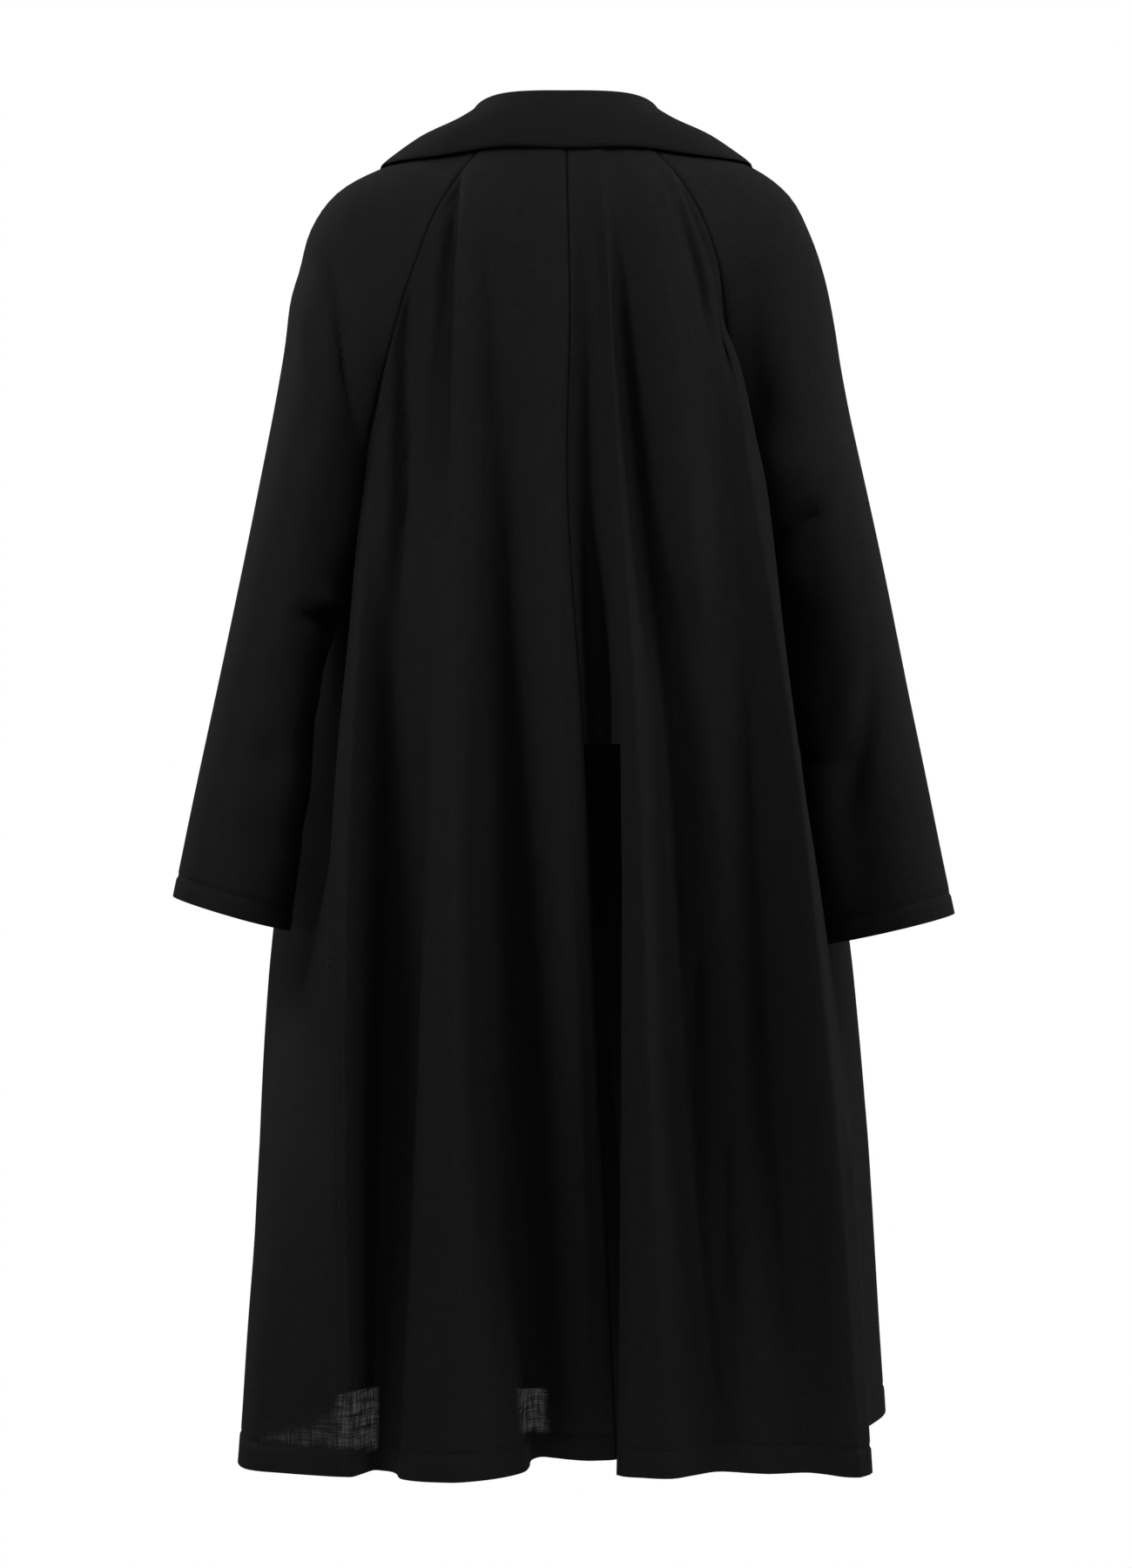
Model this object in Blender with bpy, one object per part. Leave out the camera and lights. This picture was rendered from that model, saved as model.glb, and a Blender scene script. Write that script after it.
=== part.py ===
"""Oversized raglan swing coat, filled out as if worn: a hollow form of thin cloth panels.

Metres, +Z up. The wearer faces -Y, so +X is the wearer's left and the back of the coat looks along +Y.
The origin is the middle of the neck opening, where the wearer's neck and shoulders carry the coat.
The tables below are in millimetres: down is measured from the origin, across is + to the wearer's left,
and out is + towards the back.
"""
import bpy
import numpy as np

# Driving sizes
MM = 0.001
WALL = 2.0
COLLAR_WALL = 2.5
SEAM_GAP = 0.3
FRONT_LAP = 26.0
LAP_STEP = 5.0
COLLAR_FRONT_SPACE = 5.0
UNDERARM_GAP = 0.3
VENT_TOP_GAP = 1.0

# Cloth colour: a soft black with a slightly cool cast
CLOTH_COLOUR = (0.012, 0.012, 0.014, 1.0)
CLOTH_ROUGHNESS = 0.9

# Rows of every body panel, measured down: neck to underarm, then underarm to hem
UPPER_ROWS = (14, 32, 55, 85, 120, 155, 190, 225, 260, 292)
LOWER_ROWS = (330, 370, 412, 455, 500, 545, 590, 635, 680, 730, 780, 830, 880, 930, 975, 1018, 1058)
BODY_ROWS = UPPER_ROWS + LOWER_ROWS
UNDERARM_ROW = len(UPPER_ROWS) - 1
VENT_DOWN = 500
SLEEVE_ROWS_BELOW = 12

# Seams: one row for each place along a seam, with columns down, across and out
CENTRE_BACK = (
    (14, 0, 70),
    (60, -1, 93),
    (150, -3, 116),
    (292, -1, 126),
    (500, -14, 126),
    (780, -27, 130),
    (1058, -39, 131),
)
RAGLAN_BACK_LEFT = (
    (14, 62, 46),
    (60, 94, 78),
    (130, 123, 96),
    (215, 147, 84),
    (256, 158, 62),
    (292, 164, 40),
)
RAGLAN_BACK_RIGHT = (
    (14, -62, 46),
    (60, -97, 77),
    (114, -119, 92),
    (160, -126, 80),
    (220, -134, 58),
    (292, -148, 30),
)
RAGLAN_FRONT_LEFT = (
    (40, 58, -50),
    (88, 88, -84),
    (150, 118, -98),
    (222, 146, -66),
    (265, 159, -12),
    (292, 164, 40),
)
RAGLAN_FRONT_RIGHT = (
    (40, -58, -50),
    (88, -88, -84),
    (150, -112, -98),
    (222, -132, -68),
    (265, -144, -18),
    (292, -148, 30),
)
SIDE_LEFT = (
    (292, 164, 40),
    (400, 171, 70),
    (500, 179, 104),
    (650, 184, 134),
    (780, 178, 158),
    (1058, 174, 200),
)
SIDE_RIGHT = (
    (292, -148, 30),
    (400, -166, 58),
    (500, -182, 84),
    (650, -204, 108),
    (780, -219, 138),
    (1058, -233, 188),
)
OVERARM_LEFT = (
    (16, 82, 0),
    (33, 149, 4),
    (67, 199, 8),
    (113, 214, 12),
    (220, 234, 16),
    (348, 259, 20),
    (504, 291, 30),
    (622, 315, 36),
)
OVERARM_RIGHT = (
    (16, -82, 0),
    (33, -152, 4),
    (60, -185, 8),
    (99, -202, 10),
    (220, -227, 14),
    (390, -263, 20),
    (518, -288, 28),
    (636, -312, 34),
)
UNDERARM_LEFT = (
    (292, 164, 40),
    (330, 170, 36),
    (383, 177, 34),
    (433, 194, 34),
    (525, 208, 36),
    (650, 222, 40),
)
UNDERARM_RIGHT = (
    (292, -148, 30),
    (330, -160, 24),
    (400, -173, 18),
    (500, -190, 14),
    (600, -201, 14),
    (662, -209, 16),
)
OVERARM_AT_UNDERARM = 265

# Folds of the back: how far across and how far out each fold's line lies at every one of these heights
BACK_HEIGHTS = (14, 60, 150, 292, 500, 780, 1058)
BACK_FOLDS_LEFT = (
    ("centre flat", (14, 15, 17, 20, 6, -9, -16), (69, 93, 117, 128, 131, 137, 135)),
    ("inner valley", (34, 48, 58, 61, 56, 42, 20), (64, 91, 112, 113, 100, 96, 120)),
    ("cone inner flank", (41, 60, 70, 70, 73, 70, 34), (61, 91, 118, 128, 130, 138, 185)),
    ("cone crest", (48, 70, 78, 84, 86, 83, 79), (57, 90, 122, 141, 161, 193, 222)),
    ("cone outer flank", (55, 82, 91, 98, 103, 111, 124), (52, 86, 114, 127, 145, 175, 210)),
    ("cone foot", (56, 85, 99, 110, 113, 120, 133), (51, 85, 107, 104, 104, 116, 181)),
    ("outer valley", (58, 88, 114, 133, 138, 146, 148), (50, 83, 100, 90, 95, 108, 174)),
    ("side ridge", (60, 91, 124, 154, 168, 169, 163), (48, 81, 98, 78, 126, 161, 200)),
)
BACK_CELLS_LEFT = (2, 3, 3, 2, 3, 3, 2, 2, 2)
VENT_RETURN = ("vent return", (-5, -6, -8, -6, -11, -38, -53), (60, 84, 104, 100, 96, 95, 96))
VENT_RETURN_CELLS = 2
BACK_FOLDS_RIGHT = (
    ("centre valley", (-8, -9, -15, -16, -29, -29, -29), (69, 90, 107, 109, 97, 97, 97)),
    ("vent fold", (-18, -22, -27, -33, -42, -42, -39), (68, 92, 117, 128, 142, 170, 192)),
    ("vent crest", (-24, -29, -34, -43, -57, -67, -80), (67, 93, 121, 136, 160, 190, 208)),
    ("right valley", (-30, -36, -42, -55, -75, -91, -115), (65, 90, 110, 112, 108, 112, 180)),
    ("blade ridge", (-42, -60, -78, -95, -116, -132, -154), (60, 91, 121, 132, 120, 121, 189)),
    ("side valley", (-52, -80, -108, -126, -148, -166, -186), (54, 87, 111, 111, 107, 114, 184)),
    ("side ridge", (-58, -92, -122, -147, -177, -205, -222), (50, 83, 106, 114, 142, 176, 203)),
)
BACK_CELLS_RIGHT = (2, 2, 2, 2, 3, 3, 3, 3)
VENT_FOLD = 1
VENT_COLUMNS = sum(BACK_CELLS_RIGHT[:VENT_FOLD + 1])

# Plain fronts: the same kind of table, from the front edge to the side
FRONT_HEIGHTS = (14, 60, 150, 292, 500, 650, 780, 1058)
FRONT_EDGE_DOWN = (75, 115, 185, 292, 500, 650, 780, 1058)
FRONT_EDGE_OUT = (-72, -96, -126, -150, -160, -168, -177, -200)
FRONT_FOLDS_LEFT = (
    ("front flat", (34, 36, 50, 60, 62, 64, 68, 78),
     (-68, -94, -124, -146, -154, -158, -164, -184)),
    ("front ridge", (44, 56, 78, 106, 124, 132, 140, 156),
     (-62, -92, -122, -138, -152, -166, -180, -208)),
    ("front valley", (50, 72, 98, 138, 174, 190, 196, 208),
     (-57, -89, -116, -102, -116, -122, -124, -132)),
    ("side bulge", (54, 82, 110, 172, 222, 243, 248, 248),
     (-54, -86, -107, -60, -70, -66, -20, 60)),
    ("side hollow", (56, 86, 115, 157, 178, 204, 222, 247),
     (-52, -84, -102, 0, 20, 36, 84, 168)),
)
FRONT_FOLDS_RIGHT = (
    ("front flat", (-34, -36, -50, -60, -62, -64, -68, -78),
     (-68, -94, -124, -146, -154, -158, -164, -184)),
    ("front ridge", (-44, -56, -78, -104, -124, -134, -144, -164),
     (-62, -92, -122, -138, -152, -166, -182, -210)),
    ("front valley", (-50, -72, -96, -126, -164, -190, -202, -226),
     (-57, -89, -116, -108, -122, -128, -140, -178)),
    ("side bulge", (-54, -82, -107, -150, -203, -237, -249, -264),
     (-54, -86, -107, -60, -74, -100, -114, -150)),
    ("side hollow", (-56, -86, -110, -142, -171, -192, -212, -238),
     (-52, -84, -102, -4, 18, 20, 20, 20)),
)
FRONT_CELLS = (2, 2, 2, 2, 2, 2, 2)

# Sleeve depth: columns are share of the sleeve's rows, bulge to the back and bulge to the front
SLEEVE_DEPTHS = (
    (0.00, 10, 10),
    (0.30, 50, 62),
    (0.43, 60, 86),
    (0.70, 54, 72),
    (1.00, 48, 56),
)
SLEEVE_CELLS = 8
CAP_HANDLE = 0.42
CAP_LIFT = 0.35
CAP_FADE = 3
TUBE_LEAN = 0.35
TUBE_HANDLE = 4.0 / 3.0

# Largest sleeve creases: columns are sleeve half, first and last row, place across at each end
# (0 inner seam, 1 overarm seam), depth, and width as a share of the way across
SLEEVE_CREASES = (
    ("sleeve_back_left", 3.0, 9.0, 0.80, 0.10, 13.0, 0.13),
    ("sleeve_back_right", 10.0, 15.0, 0.55, 0.22, 8.0, 0.20),
    ("sleeve_back_right", 16.0, 19.0, 0.50, 0.25, 6.0, 0.16),
)
CREASE_ROWS = 1.2

# Collar: columns are share of the way from centre back to front end, stand height, lean in,
# and the fall's reach, puff and clearance
COLLAR_SECTIONS = (
    (0.00, 36, 7, 17, 3, 5),
    (0.18, 37, 6, 17, 3, 5),
    (0.33, 37, 6, 28, 5, 5),
    (0.45, 34, 6, 64, 7, 5),
    (0.68, 26, 5, 72, 14, 6),
    (0.86, 20, 4, 80, 11, 11),
    (0.94, 17, 3, 72, 7, 12),
    (1.00, 15, 3, 44, 5, 12),
)
COLLAR_SOFTENING = 3
COLLAR_ROWS_A_SIDE = 18
COLLAR_FOLD_HALF = 4.5
COLLAR_FOLD_DROP = 5.0
COLLAR_CELLS = (3, 2, 2, 2, 2)


def smooth(knots, values, places):
    """Values at places on a cubic through the knots."""
    knots = np.asarray(knots, float)
    values = np.asarray(values, float)
    places = np.atleast_1d(np.asarray(places, float))
    slopes = np.gradient(values, knots, axis=0)
    start = np.clip(np.searchsorted(knots, places, side="right") - 1, 0, len(knots) - 2)
    span = knots[start + 1] - knots[start]
    share = (places - knots[start]) / span
    if values.ndim > 1:
        span = span[:, None]
        share = share[:, None]
    rise = values[start + 1] - values[start]
    square = share * share
    cube = square * share
    bend_in = (cube - 2 * square + share) * span * slopes[start]
    bend_out = (cube - square) * span * slopes[start + 1]
    return values[start] + (3 * square - 2 * cube) * rise + bend_in + bend_out


def unit(vector):
    """The vector at length one."""
    return vector / np.linalg.norm(vector)


def as_points(table):
    """Rows of (down, across, out) as points (x, y, z)."""
    table = np.asarray(table, float)
    return np.column_stack((table[:, 1], table[:, 2], -table[:, 0]))


UNDERARM_KEYS = [tuple(np.round(as_points(table)[0], 3)) for table in (SIDE_LEFT, SIDE_RIGHT)]


def seam_at(table, downs):
    """Points of a seam at the given heights."""
    table = np.asarray(table, float)
    return smooth(table[:, 0], as_points(table), downs)


def seam_along(table, count, first=0.0, last=1.0):
    """Points evenly spaced along a seam, between two shares of its length."""
    points = as_points(table)
    steps = np.linalg.norm(np.diff(points, axis=0), axis=1)
    length = np.concatenate(([0.0], np.cumsum(steps)))
    return smooth(length, points, np.linspace(first, last, count) * length[-1])


def share_at(table, down):
    """Share of a seam's length at which it reaches a height."""
    points = as_points(table)
    steps = np.linalg.norm(np.diff(points, axis=0), axis=1)
    length = np.concatenate(([0.0], np.cumsum(steps)))
    return np.interp(down, -points[:, 2], length) / length[-1]


def across_row(stops, cells):
    """One row of a panel: a smooth run through its stops, with so many cells between each two."""
    steps = np.linalg.norm(np.diff(stops, axis=0), axis=1)
    length = np.concatenate(([0.0], np.cumsum(steps)))
    places = [np.linspace(length[i], length[i + 1], count, endpoint=False)
              for i, count in enumerate(cells)]
    places.append(length[-1:])
    return smooth(length, stops, np.concatenate(places))


def fold_lines(folds, heights, downs):
    """Places across and out of each fold line at every row."""
    across = [smooth(heights, fold[1], downs) for fold in folds]
    out = [smooth(heights, fold[2], downs) for fold in folds]
    return np.array(across).T, np.array(out).T


def side_edge(raglan_points, side_table):
    """The outer edge of a body panel: its raglan seam, then its side seam."""
    return np.vstack((raglan_points, seam_at(side_table, LOWER_ROWS)))


def back_panel(folds, cells, raglan, side, before=()):
    """Grid of a back panel, from any lines before the centre seam to the raglan and side seams."""
    centre = seam_at(CENTRE_BACK, BODY_ROWS)
    edge = side_edge(seam_at(raglan, UPPER_ROWS), side)
    across, out = fold_lines(before + folds, BACK_HEIGHTS, BODY_ROWS)
    grid = []
    for row, down in enumerate(BODY_ROWS):
        lines = np.column_stack((across[row], out[row], np.full(len(across[row]), -float(down))))
        inside = lines[len(before):]
        main = across_row(np.vstack((centre[row], inside, edge[row])), cells)
        for line in lines[:len(before)]:
            main = np.vstack((np.linspace(line, centre[row], VENT_RETURN_CELLS + 1)[:-1], main))
        grid.append(main)
    return np.array(grid)


def front_panel(folds, raglan, side, hand, step):
    """Grid of a front panel, from its front edge past the middle to the raglan and side seams."""
    edge = side_edge(seam_along(raglan, len(UPPER_ROWS)), side)
    across, out = fold_lines(folds, FRONT_HEIGHTS, BODY_ROWS)
    edge_down = smooth(FRONT_HEIGHTS, FRONT_EDGE_DOWN, BODY_ROWS)
    edge_out = smooth(FRONT_HEIGHTS, FRONT_EDGE_OUT, BODY_ROWS) + step
    grid = []
    for row in range(len(BODY_ROWS)):
        shares = (np.arange(len(folds)) + 1.0) / (len(folds) + 1.0)
        level = -edge_down[row] + shares * (edge[row][2] + edge_down[row])
        lines = np.column_stack((across[row], out[row], level))
        front_edge = np.array((-hand * FRONT_LAP, edge_out[row], -edge_down[row]))
        lap_line = front_edge * np.array((-1.0, 1.0, 1.0))
        grid.append(across_row(np.vstack((front_edge, lap_line, lines, edge[row])), FRONT_CELLS))
    return np.array(grid)


def bezier(first, first_handle, last_handle, last, count):
    """Points along a cubic curve from first to last."""
    share = np.linspace(0.0, 1.0, count)[:, None]
    rest = 1.0 - share
    return (rest ** 3 * first + 3 * rest ** 2 * share * first_handle
            + 3 * rest * share ** 2 * last_handle + share ** 3 * last)


def sleeve_half(raglan_points, underarm, overarm, facing):
    """Grid of half a sleeve, from its raglan and underarm seams to the overarm seam."""
    turn = share_at(overarm, OVERARM_AT_UNDERARM)
    upper = seam_along(overarm, len(UPPER_ROWS), 0.0, turn)
    lower = seam_along(overarm, SLEEVE_ROWS_BELOW + 1, turn, 1.0)[1:]
    outer = np.vstack((upper, lower))
    inner = np.vstack((raglan_points, seam_along(underarm, SLEEVE_ROWS_BELOW + 1)[1:]))
    depths = np.asarray(SLEEVE_DEPTHS, float)
    depth_column = 1 if facing > 0 else 2
    bulge = smooth(depths[:, 0], depths[:, depth_column], np.linspace(0.0, 1.0, len(inner)))
    away = np.array((0.0, facing, 0.0))
    grid = []
    for row in range(len(inner)):
        chord = np.linalg.norm(outer[row] - inner[row])
        tube = min(1.0, row / UNDERARM_ROW) ** CAP_FADE
        level = (outer[row] - inner[row]) / chord
        heading = unit((1.0 - tube + TUBE_LEAN * tube) * level + (CAP_LIFT + tube) * away)
        reach = (1.0 - tube) * CAP_HANDLE * chord + tube * TUBE_HANDLE * bulge[row]
        grid.append(bezier(inner[row], inner[row] + reach * heading, outer[row] + reach * away,
                           outer[row], SLEEVE_CELLS + 1))
    return np.array(grid)


def crease(grid, facing, first, last, place_first, place_last, depth, width):
    """Press one crease into a sleeve half."""
    rows, columns = grid.shape[:2]
    middle = 0.5 * (first + last)
    half = 0.5 * (last - first)
    for row in range(rows):
        along = max(0.0, 1.0 - (max(0.0, abs(row - middle) - half) / CREASE_ROWS) ** 2)
        share = np.clip((row - first) / (last - first), 0.0, 1.0)
        place = place_first + share * (place_last - place_first)
        for column in range(1, columns - 1):
            off = (column / (columns - 1.0) - place) / width
            grid[row, column, 1] -= facing * depth * along * np.exp(-off * off)


def all_cells(grid):
    """Every cell of a grid is cloth."""
    return np.ones((grid.shape[0] - 1, grid.shape[1] - 1), bool)


def vent_cells(grid):
    """Right back: no cloth between the centre seam and the vent fold below the vent's top."""
    cells = all_cells(grid)
    cells[BODY_ROWS.index(VENT_DOWN):, :VENT_COLUMNS] = False
    return cells


def return_cells(grid):
    """Left back: the turned-in edge beside the vent starts at the vent's top."""
    cells = all_cells(grid)
    cells[:BODY_ROWS.index(VENT_DOWN), :VENT_RETURN_CELLS] = False
    return cells


def cell_normals(grid, flip):
    """Outward normal of every cell, scaled by its area."""
    down = grid[1:, 1:] - grid[:-1, :-1]
    up = grid[:-1, 1:] - grid[1:, :-1]
    normals = np.cross(up, down)
    return -normals if flip else normals


def key_of(name, point):
    """A point's key, equal for two panels that meet there, but not for sleeve and body at the underarm."""
    key = tuple(np.round(point, 3))
    group = "cloth"
    if key in UNDERARM_KEYS:
        group = name.split("_")[0] == "sleeve"
    return key + (group,)


def shared_normals(panels):
    """Outward normal at every point, one for all the panels that meet there."""
    total = {}
    for name, (grid, cells, flip) in panels.items():
        normals = cell_normals(grid, flip)
        for row, column in zip(*np.nonzero(cells)):
            direction = unit(normals[row, column])
            for corner in ((0, 0), (0, 1), (1, 0), (1, 1)):
                key = key_of(name, grid[row + corner[0], column + corner[1]])
                total[key] = total.get(key, 0.0) + direction
    return {key: unit(value) for key, value in total.items()}


def used_points(cells):
    """Grid points that belong to some cell with cloth."""
    used = np.zeros((cells.shape[0] + 1, cells.shape[1] + 1), bool)
    used[:-1, :-1] |= cells
    used[:-1, 1:] |= cells
    used[1:, :-1] |= cells
    used[1:, 1:] |= cells
    return used


def seam_columns(name):
    """Columns of a panel that lie on a seam, each with the next column inside."""
    first = VENT_RETURN_CELLS if name == "back_left" else 0
    return ((first, first + 1), (-1, -2))


def seam_neighbours(panels):
    """For each edge point, the next point inside every panel that meets there."""
    meeting = {}
    for name, (grid, cells, flip) in panels.items():
        used = used_points(cells)
        for row in range(grid.shape[0]):
            for column, inside in seam_columns(name):
                if used[row, column]:
                    meeting.setdefault(key_of(name, grid[row, column]), {})[name] = grid[row, inside]
    return meeting


def underarm_pull(name, point):
    """At the underarm, sleeves are drawn out, the body in, backs back and fronts forward."""
    outward = np.sign(point[0]) * (1.0 if name.startswith("sleeve") else -1.0)
    backward = 1.0 if "back" in name else -1.0
    return UNDERARM_GAP * unit(np.array((outward, backward, 0.0)))


def open_seams(panels, meeting):
    """Grids with their seam edges drawn back, so that two panels leave the seam gap."""
    opened = {}
    for name, (grid, cells, flip) in panels.items():
        moved = grid.copy()
        for row in range(grid.shape[0]):
            for column, inside in seam_columns(name):
                key = key_of(name, grid[row, column])
                here = meeting.get(key, {})
                others = [point for other, point in here.items() if other != name]
                if key[:3] in UNDERARM_KEYS:
                    moved[row, column] += underarm_pull(name, grid[row, column])
                elif name in here and others:
                    pull = unit(here[name] - np.mean(others, axis=0))
                    moved[row, column] += 0.5 * SEAM_GAP * pull
        opened[name] = moved
    return opened


def cloth_material():
    """The black cloth."""
    material = bpy.data.materials.new("black_cloth")
    material.use_nodes = True
    shader = material.node_tree.nodes["Principled BSDF"]
    shader.inputs["Base Color"].default_value = CLOTH_COLOUR
    shader.inputs["Roughness"].default_value = CLOTH_ROUGHNESS
    shader.inputs["Metallic"].default_value = 0.0
    return material


def wall_object(name, outer, inner, cells, flip, material):
    """A closed thin wall between an outer and an inner grid, over the cells with cloth."""
    used = used_points(cells)
    number = np.full(used.shape, -1)
    number[used] = np.arange(used.sum())
    count = int(used.sum())
    points = np.vstack((outer[used], inner[used])) * MM
    faces = []
    edges = {}
    for row, column in zip(*np.nonzero(cells)):
        corners = [(row, column), (row, column + 1), (row + 1, column + 1), (row + 1, column)]
        if flip:
            corners.reverse()
        ring = [int(number[corner]) for corner in corners]
        diagonals = [np.linalg.norm(outer[corners[i]] - outer[corners[i + 2]]) for i in (0, 1)]
        start = int(diagonals[1] < diagonals[0])
        turned = ring[start:] + ring[:start]
        for triangle in (turned[:3], turned[2:] + turned[:1]):
            faces.append(triangle)
            faces.append([corner + count for corner in reversed(triangle)])
        for first, second in zip(ring, ring[1:] + ring[:1]):
            if (second, first) in edges:
                del edges[(second, first)]
            else:
                edges[(first, second)] = True
    for first, second in edges:
        faces.append([second, first, first + count, second + count])
    mesh = bpy.data.meshes.new(name)
    mesh.from_pydata(points.tolist(), [], faces)
    mesh.update()
    mesh.shade_smooth()
    mesh.materials.append(material)
    made = bpy.data.objects.new(name, mesh)
    bpy.context.scene.collection.objects.link(made)
    return made


def inside_of(name, grid, opened, normals, wall):
    """The inner grid of a panel, a wall's thickness in from its opened outer grid."""
    inner = opened.copy()
    for row in range(grid.shape[0]):
        for column in range(grid.shape[1]):
            normal = normals.get(key_of(name, grid[row, column]))
            if normal is not None:
                inner[row, column] -= wall * normal
    return inner


def body_panels():
    """The eight panels of the body and sleeves: grid, cells with cloth, and whether faces turn over."""
    back_left = back_panel(BACK_FOLDS_LEFT, BACK_CELLS_LEFT, RAGLAN_BACK_LEFT, SIDE_LEFT, (VENT_RETURN,))
    back_right = back_panel(BACK_FOLDS_RIGHT, BACK_CELLS_RIGHT, RAGLAN_BACK_RIGHT, SIDE_RIGHT)
    front_left = front_panel(FRONT_FOLDS_LEFT, RAGLAN_FRONT_LEFT, SIDE_LEFT, 1.0, LAP_STEP)
    front_right = front_panel(FRONT_FOLDS_RIGHT, RAGLAN_FRONT_RIGHT, SIDE_RIGHT, -1.0, 0.0)
    halves = (
        ("sleeve_back_left", back_left, UNDERARM_LEFT, OVERARM_LEFT, 1.0, False),
        ("sleeve_back_right", back_right, UNDERARM_RIGHT, OVERARM_RIGHT, 1.0, True),
        ("sleeve_front_left", front_left, UNDERARM_LEFT, OVERARM_LEFT, -1.0, True),
        ("sleeve_front_right", front_right, UNDERARM_RIGHT, OVERARM_RIGHT, -1.0, False),
    )
    panels = {
        "back_left": (back_left, return_cells(back_left), False),
        "back_right": (back_right, vent_cells(back_right), True),
        "front_left": (front_left, all_cells(front_left), True),
        "front_right": (front_right, all_cells(front_right), False),
    }
    for name, body, underarm, overarm, facing, flip in halves:
        grid = sleeve_half(body[:len(UPPER_ROWS), -1], underarm, overarm, facing)
        for crease_row in SLEEVE_CREASES:
            if crease_row[0] == name:
                crease(grid, facing, *crease_row[1:])
        panels[name] = (grid, all_cells(grid), flip)
    return panels


def neck_columns(name, panels, normals):
    """For each column of a panel: its run down from the neck, its outward normals and its length."""
    grid = panels[name][0]
    first = VENT_RETURN_CELLS if name == "back_left" else 0
    columns = []
    for column in range(first, grid.shape[1]):
        run = grid[:UNDERARM_ROW, column]
        outward = np.array([normals[key_of(name, point)] for point in run])
        steps = np.linalg.norm(np.diff(run, axis=0), axis=1)
        length = np.concatenate(([0.0], np.cumsum(steps)))
        columns.append((run, outward, length))
    return columns


def on_outside(column, reach, clear):
    """A point a given way down a column, held clear of its outside."""
    run, outward, length = column
    point = np.array([np.interp(reach, length, run[:, axis]) for axis in range(3)])
    normal = unit(np.array([np.interp(reach, length, outward[:, axis]) for axis in range(3)]))
    return point + clear * normal


def collar_side(names, panels, normals):
    """Sections of one side of the collar, from centre back to the front end, evenly spaced."""
    back, sleeve_back, sleeve_front, front = (neck_columns(name, panels, normals) for name in names)
    columns = back + sleeve_back[1:] + sleeve_front[-2::-1] + front[-2::-1]
    hand = np.sign(sleeve_back[-1][0][0, 0])
    columns = [column for column in columns
               if column[0][0, 1] > 0.0 or hand * column[0][0, 0] > COLLAR_FRONT_SPACE]
    ring = np.array([column[0][0] for column in columns])
    length = np.concatenate(([0.0], np.cumsum(np.linalg.norm(np.diff(ring, axis=0), axis=1))))
    table = np.asarray(COLLAR_SECTIONS, float)
    sizes = smooth(table[:, 0], table[:, 1:], length / length[-1])
    along = np.gradient(ring, axis=0)
    up = np.array((0.0, 0.0, 1.0))
    sections = []
    for column, point, heading, (stand, lean, reach, puff, clear) in zip(columns, ring, along, sizes):
        outward = hand * unit(np.array((-heading[1], heading[0], 0.0)))
        tilt = COLLAR_WALL * lean / stand
        base = point - COLLAR_WALL * outward + (SEAM_GAP - tilt) * up
        fold = point - lean * outward + stand * up
        stand_top = fold - COLLAR_FOLD_HALF * outward - COLLAR_FOLD_DROP * up
        fall_top = fold + COLLAR_FOLD_HALF * outward - COLLAR_FOLD_DROP * up
        edge = on_outside(column, reach, clear)
        middle = 0.5 * (fall_top + edge) + puff * unit(outward + up)
        sections.append((base, stand_top, fold, fall_top, middle, edge))
    sections = np.array(sections)
    places = np.linspace(0.0, length[-1], COLLAR_ROWS_A_SIDE + 1)
    flat = sections.reshape(len(sections), -1)
    even = np.column_stack([np.interp(places, length, values) for values in flat.T])
    even = even.reshape(len(places), sections.shape[1], 3)
    for _ in range(COLLAR_SOFTENING):
        even[1:-1, 1:-1] = 0.25 * even[:-2, 1:-1] + 0.5 * even[1:-1, 1:-1] + 0.25 * even[2:, 1:-1]
    return even


def collar_grid(panels, normals):
    """Grid of the collar: each row runs up the stand, over the fold and down the fall."""
    pieces = ("back", "sleeve_back", "sleeve_front", "front")
    left = collar_side([piece + "_left" for piece in pieces], panels, normals)
    right = collar_side([piece + "_right" for piece in pieces], panels, normals)
    left[0, :, 0] = 0.0
    rows = np.concatenate((left[::-1], right[1:]))
    return np.array([across_row(stops, COLLAR_CELLS) for stops in rows])


def build_coat():
    """Every panel of the coat as its own closed wall."""
    material = cloth_material()
    panels = body_panels()
    normals = shared_normals(panels)
    opened = open_seams(panels, seam_neighbours(panels))
    opened["back_right"][BODY_ROWS.index(VENT_DOWN), :VENT_COLUMNS, 2] += VENT_TOP_GAP
    for name, (grid, cells, flip) in panels.items():
        inner = inside_of(name, grid, opened[name], normals, WALL)
        wall_object(name, opened[name], inner, cells, flip, material)
    collar = collar_grid(panels, normals)
    collar_panel = {"collar": (collar, all_cells(collar), False)}
    collar_inner = inside_of("collar", collar, collar, shared_normals(collar_panel), COLLAR_WALL)
    wall_object("collar", collar, collar_inner, all_cells(collar), False, material)


for old in list(bpy.data.objects):
    bpy.data.objects.remove(old, do_unlink=True)
build_coat()
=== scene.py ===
"""Oversized black raglan coat, filled out as if worn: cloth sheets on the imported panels, with their creases,
hems and sewing, a plain pale floor, soft studio light and a camera straight behind the coat.

Metres, +Z up. The wearer faces -Y, so the back of the coat looks along +Y.
The tables of seams and folds are in millimetres, with the origin at the middle of the neck opening:
down is measured from there, across is + to the wearer's left, and out is + towards the back.
"""
import math

import bpy
import numpy as np
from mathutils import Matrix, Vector, noise


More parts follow.
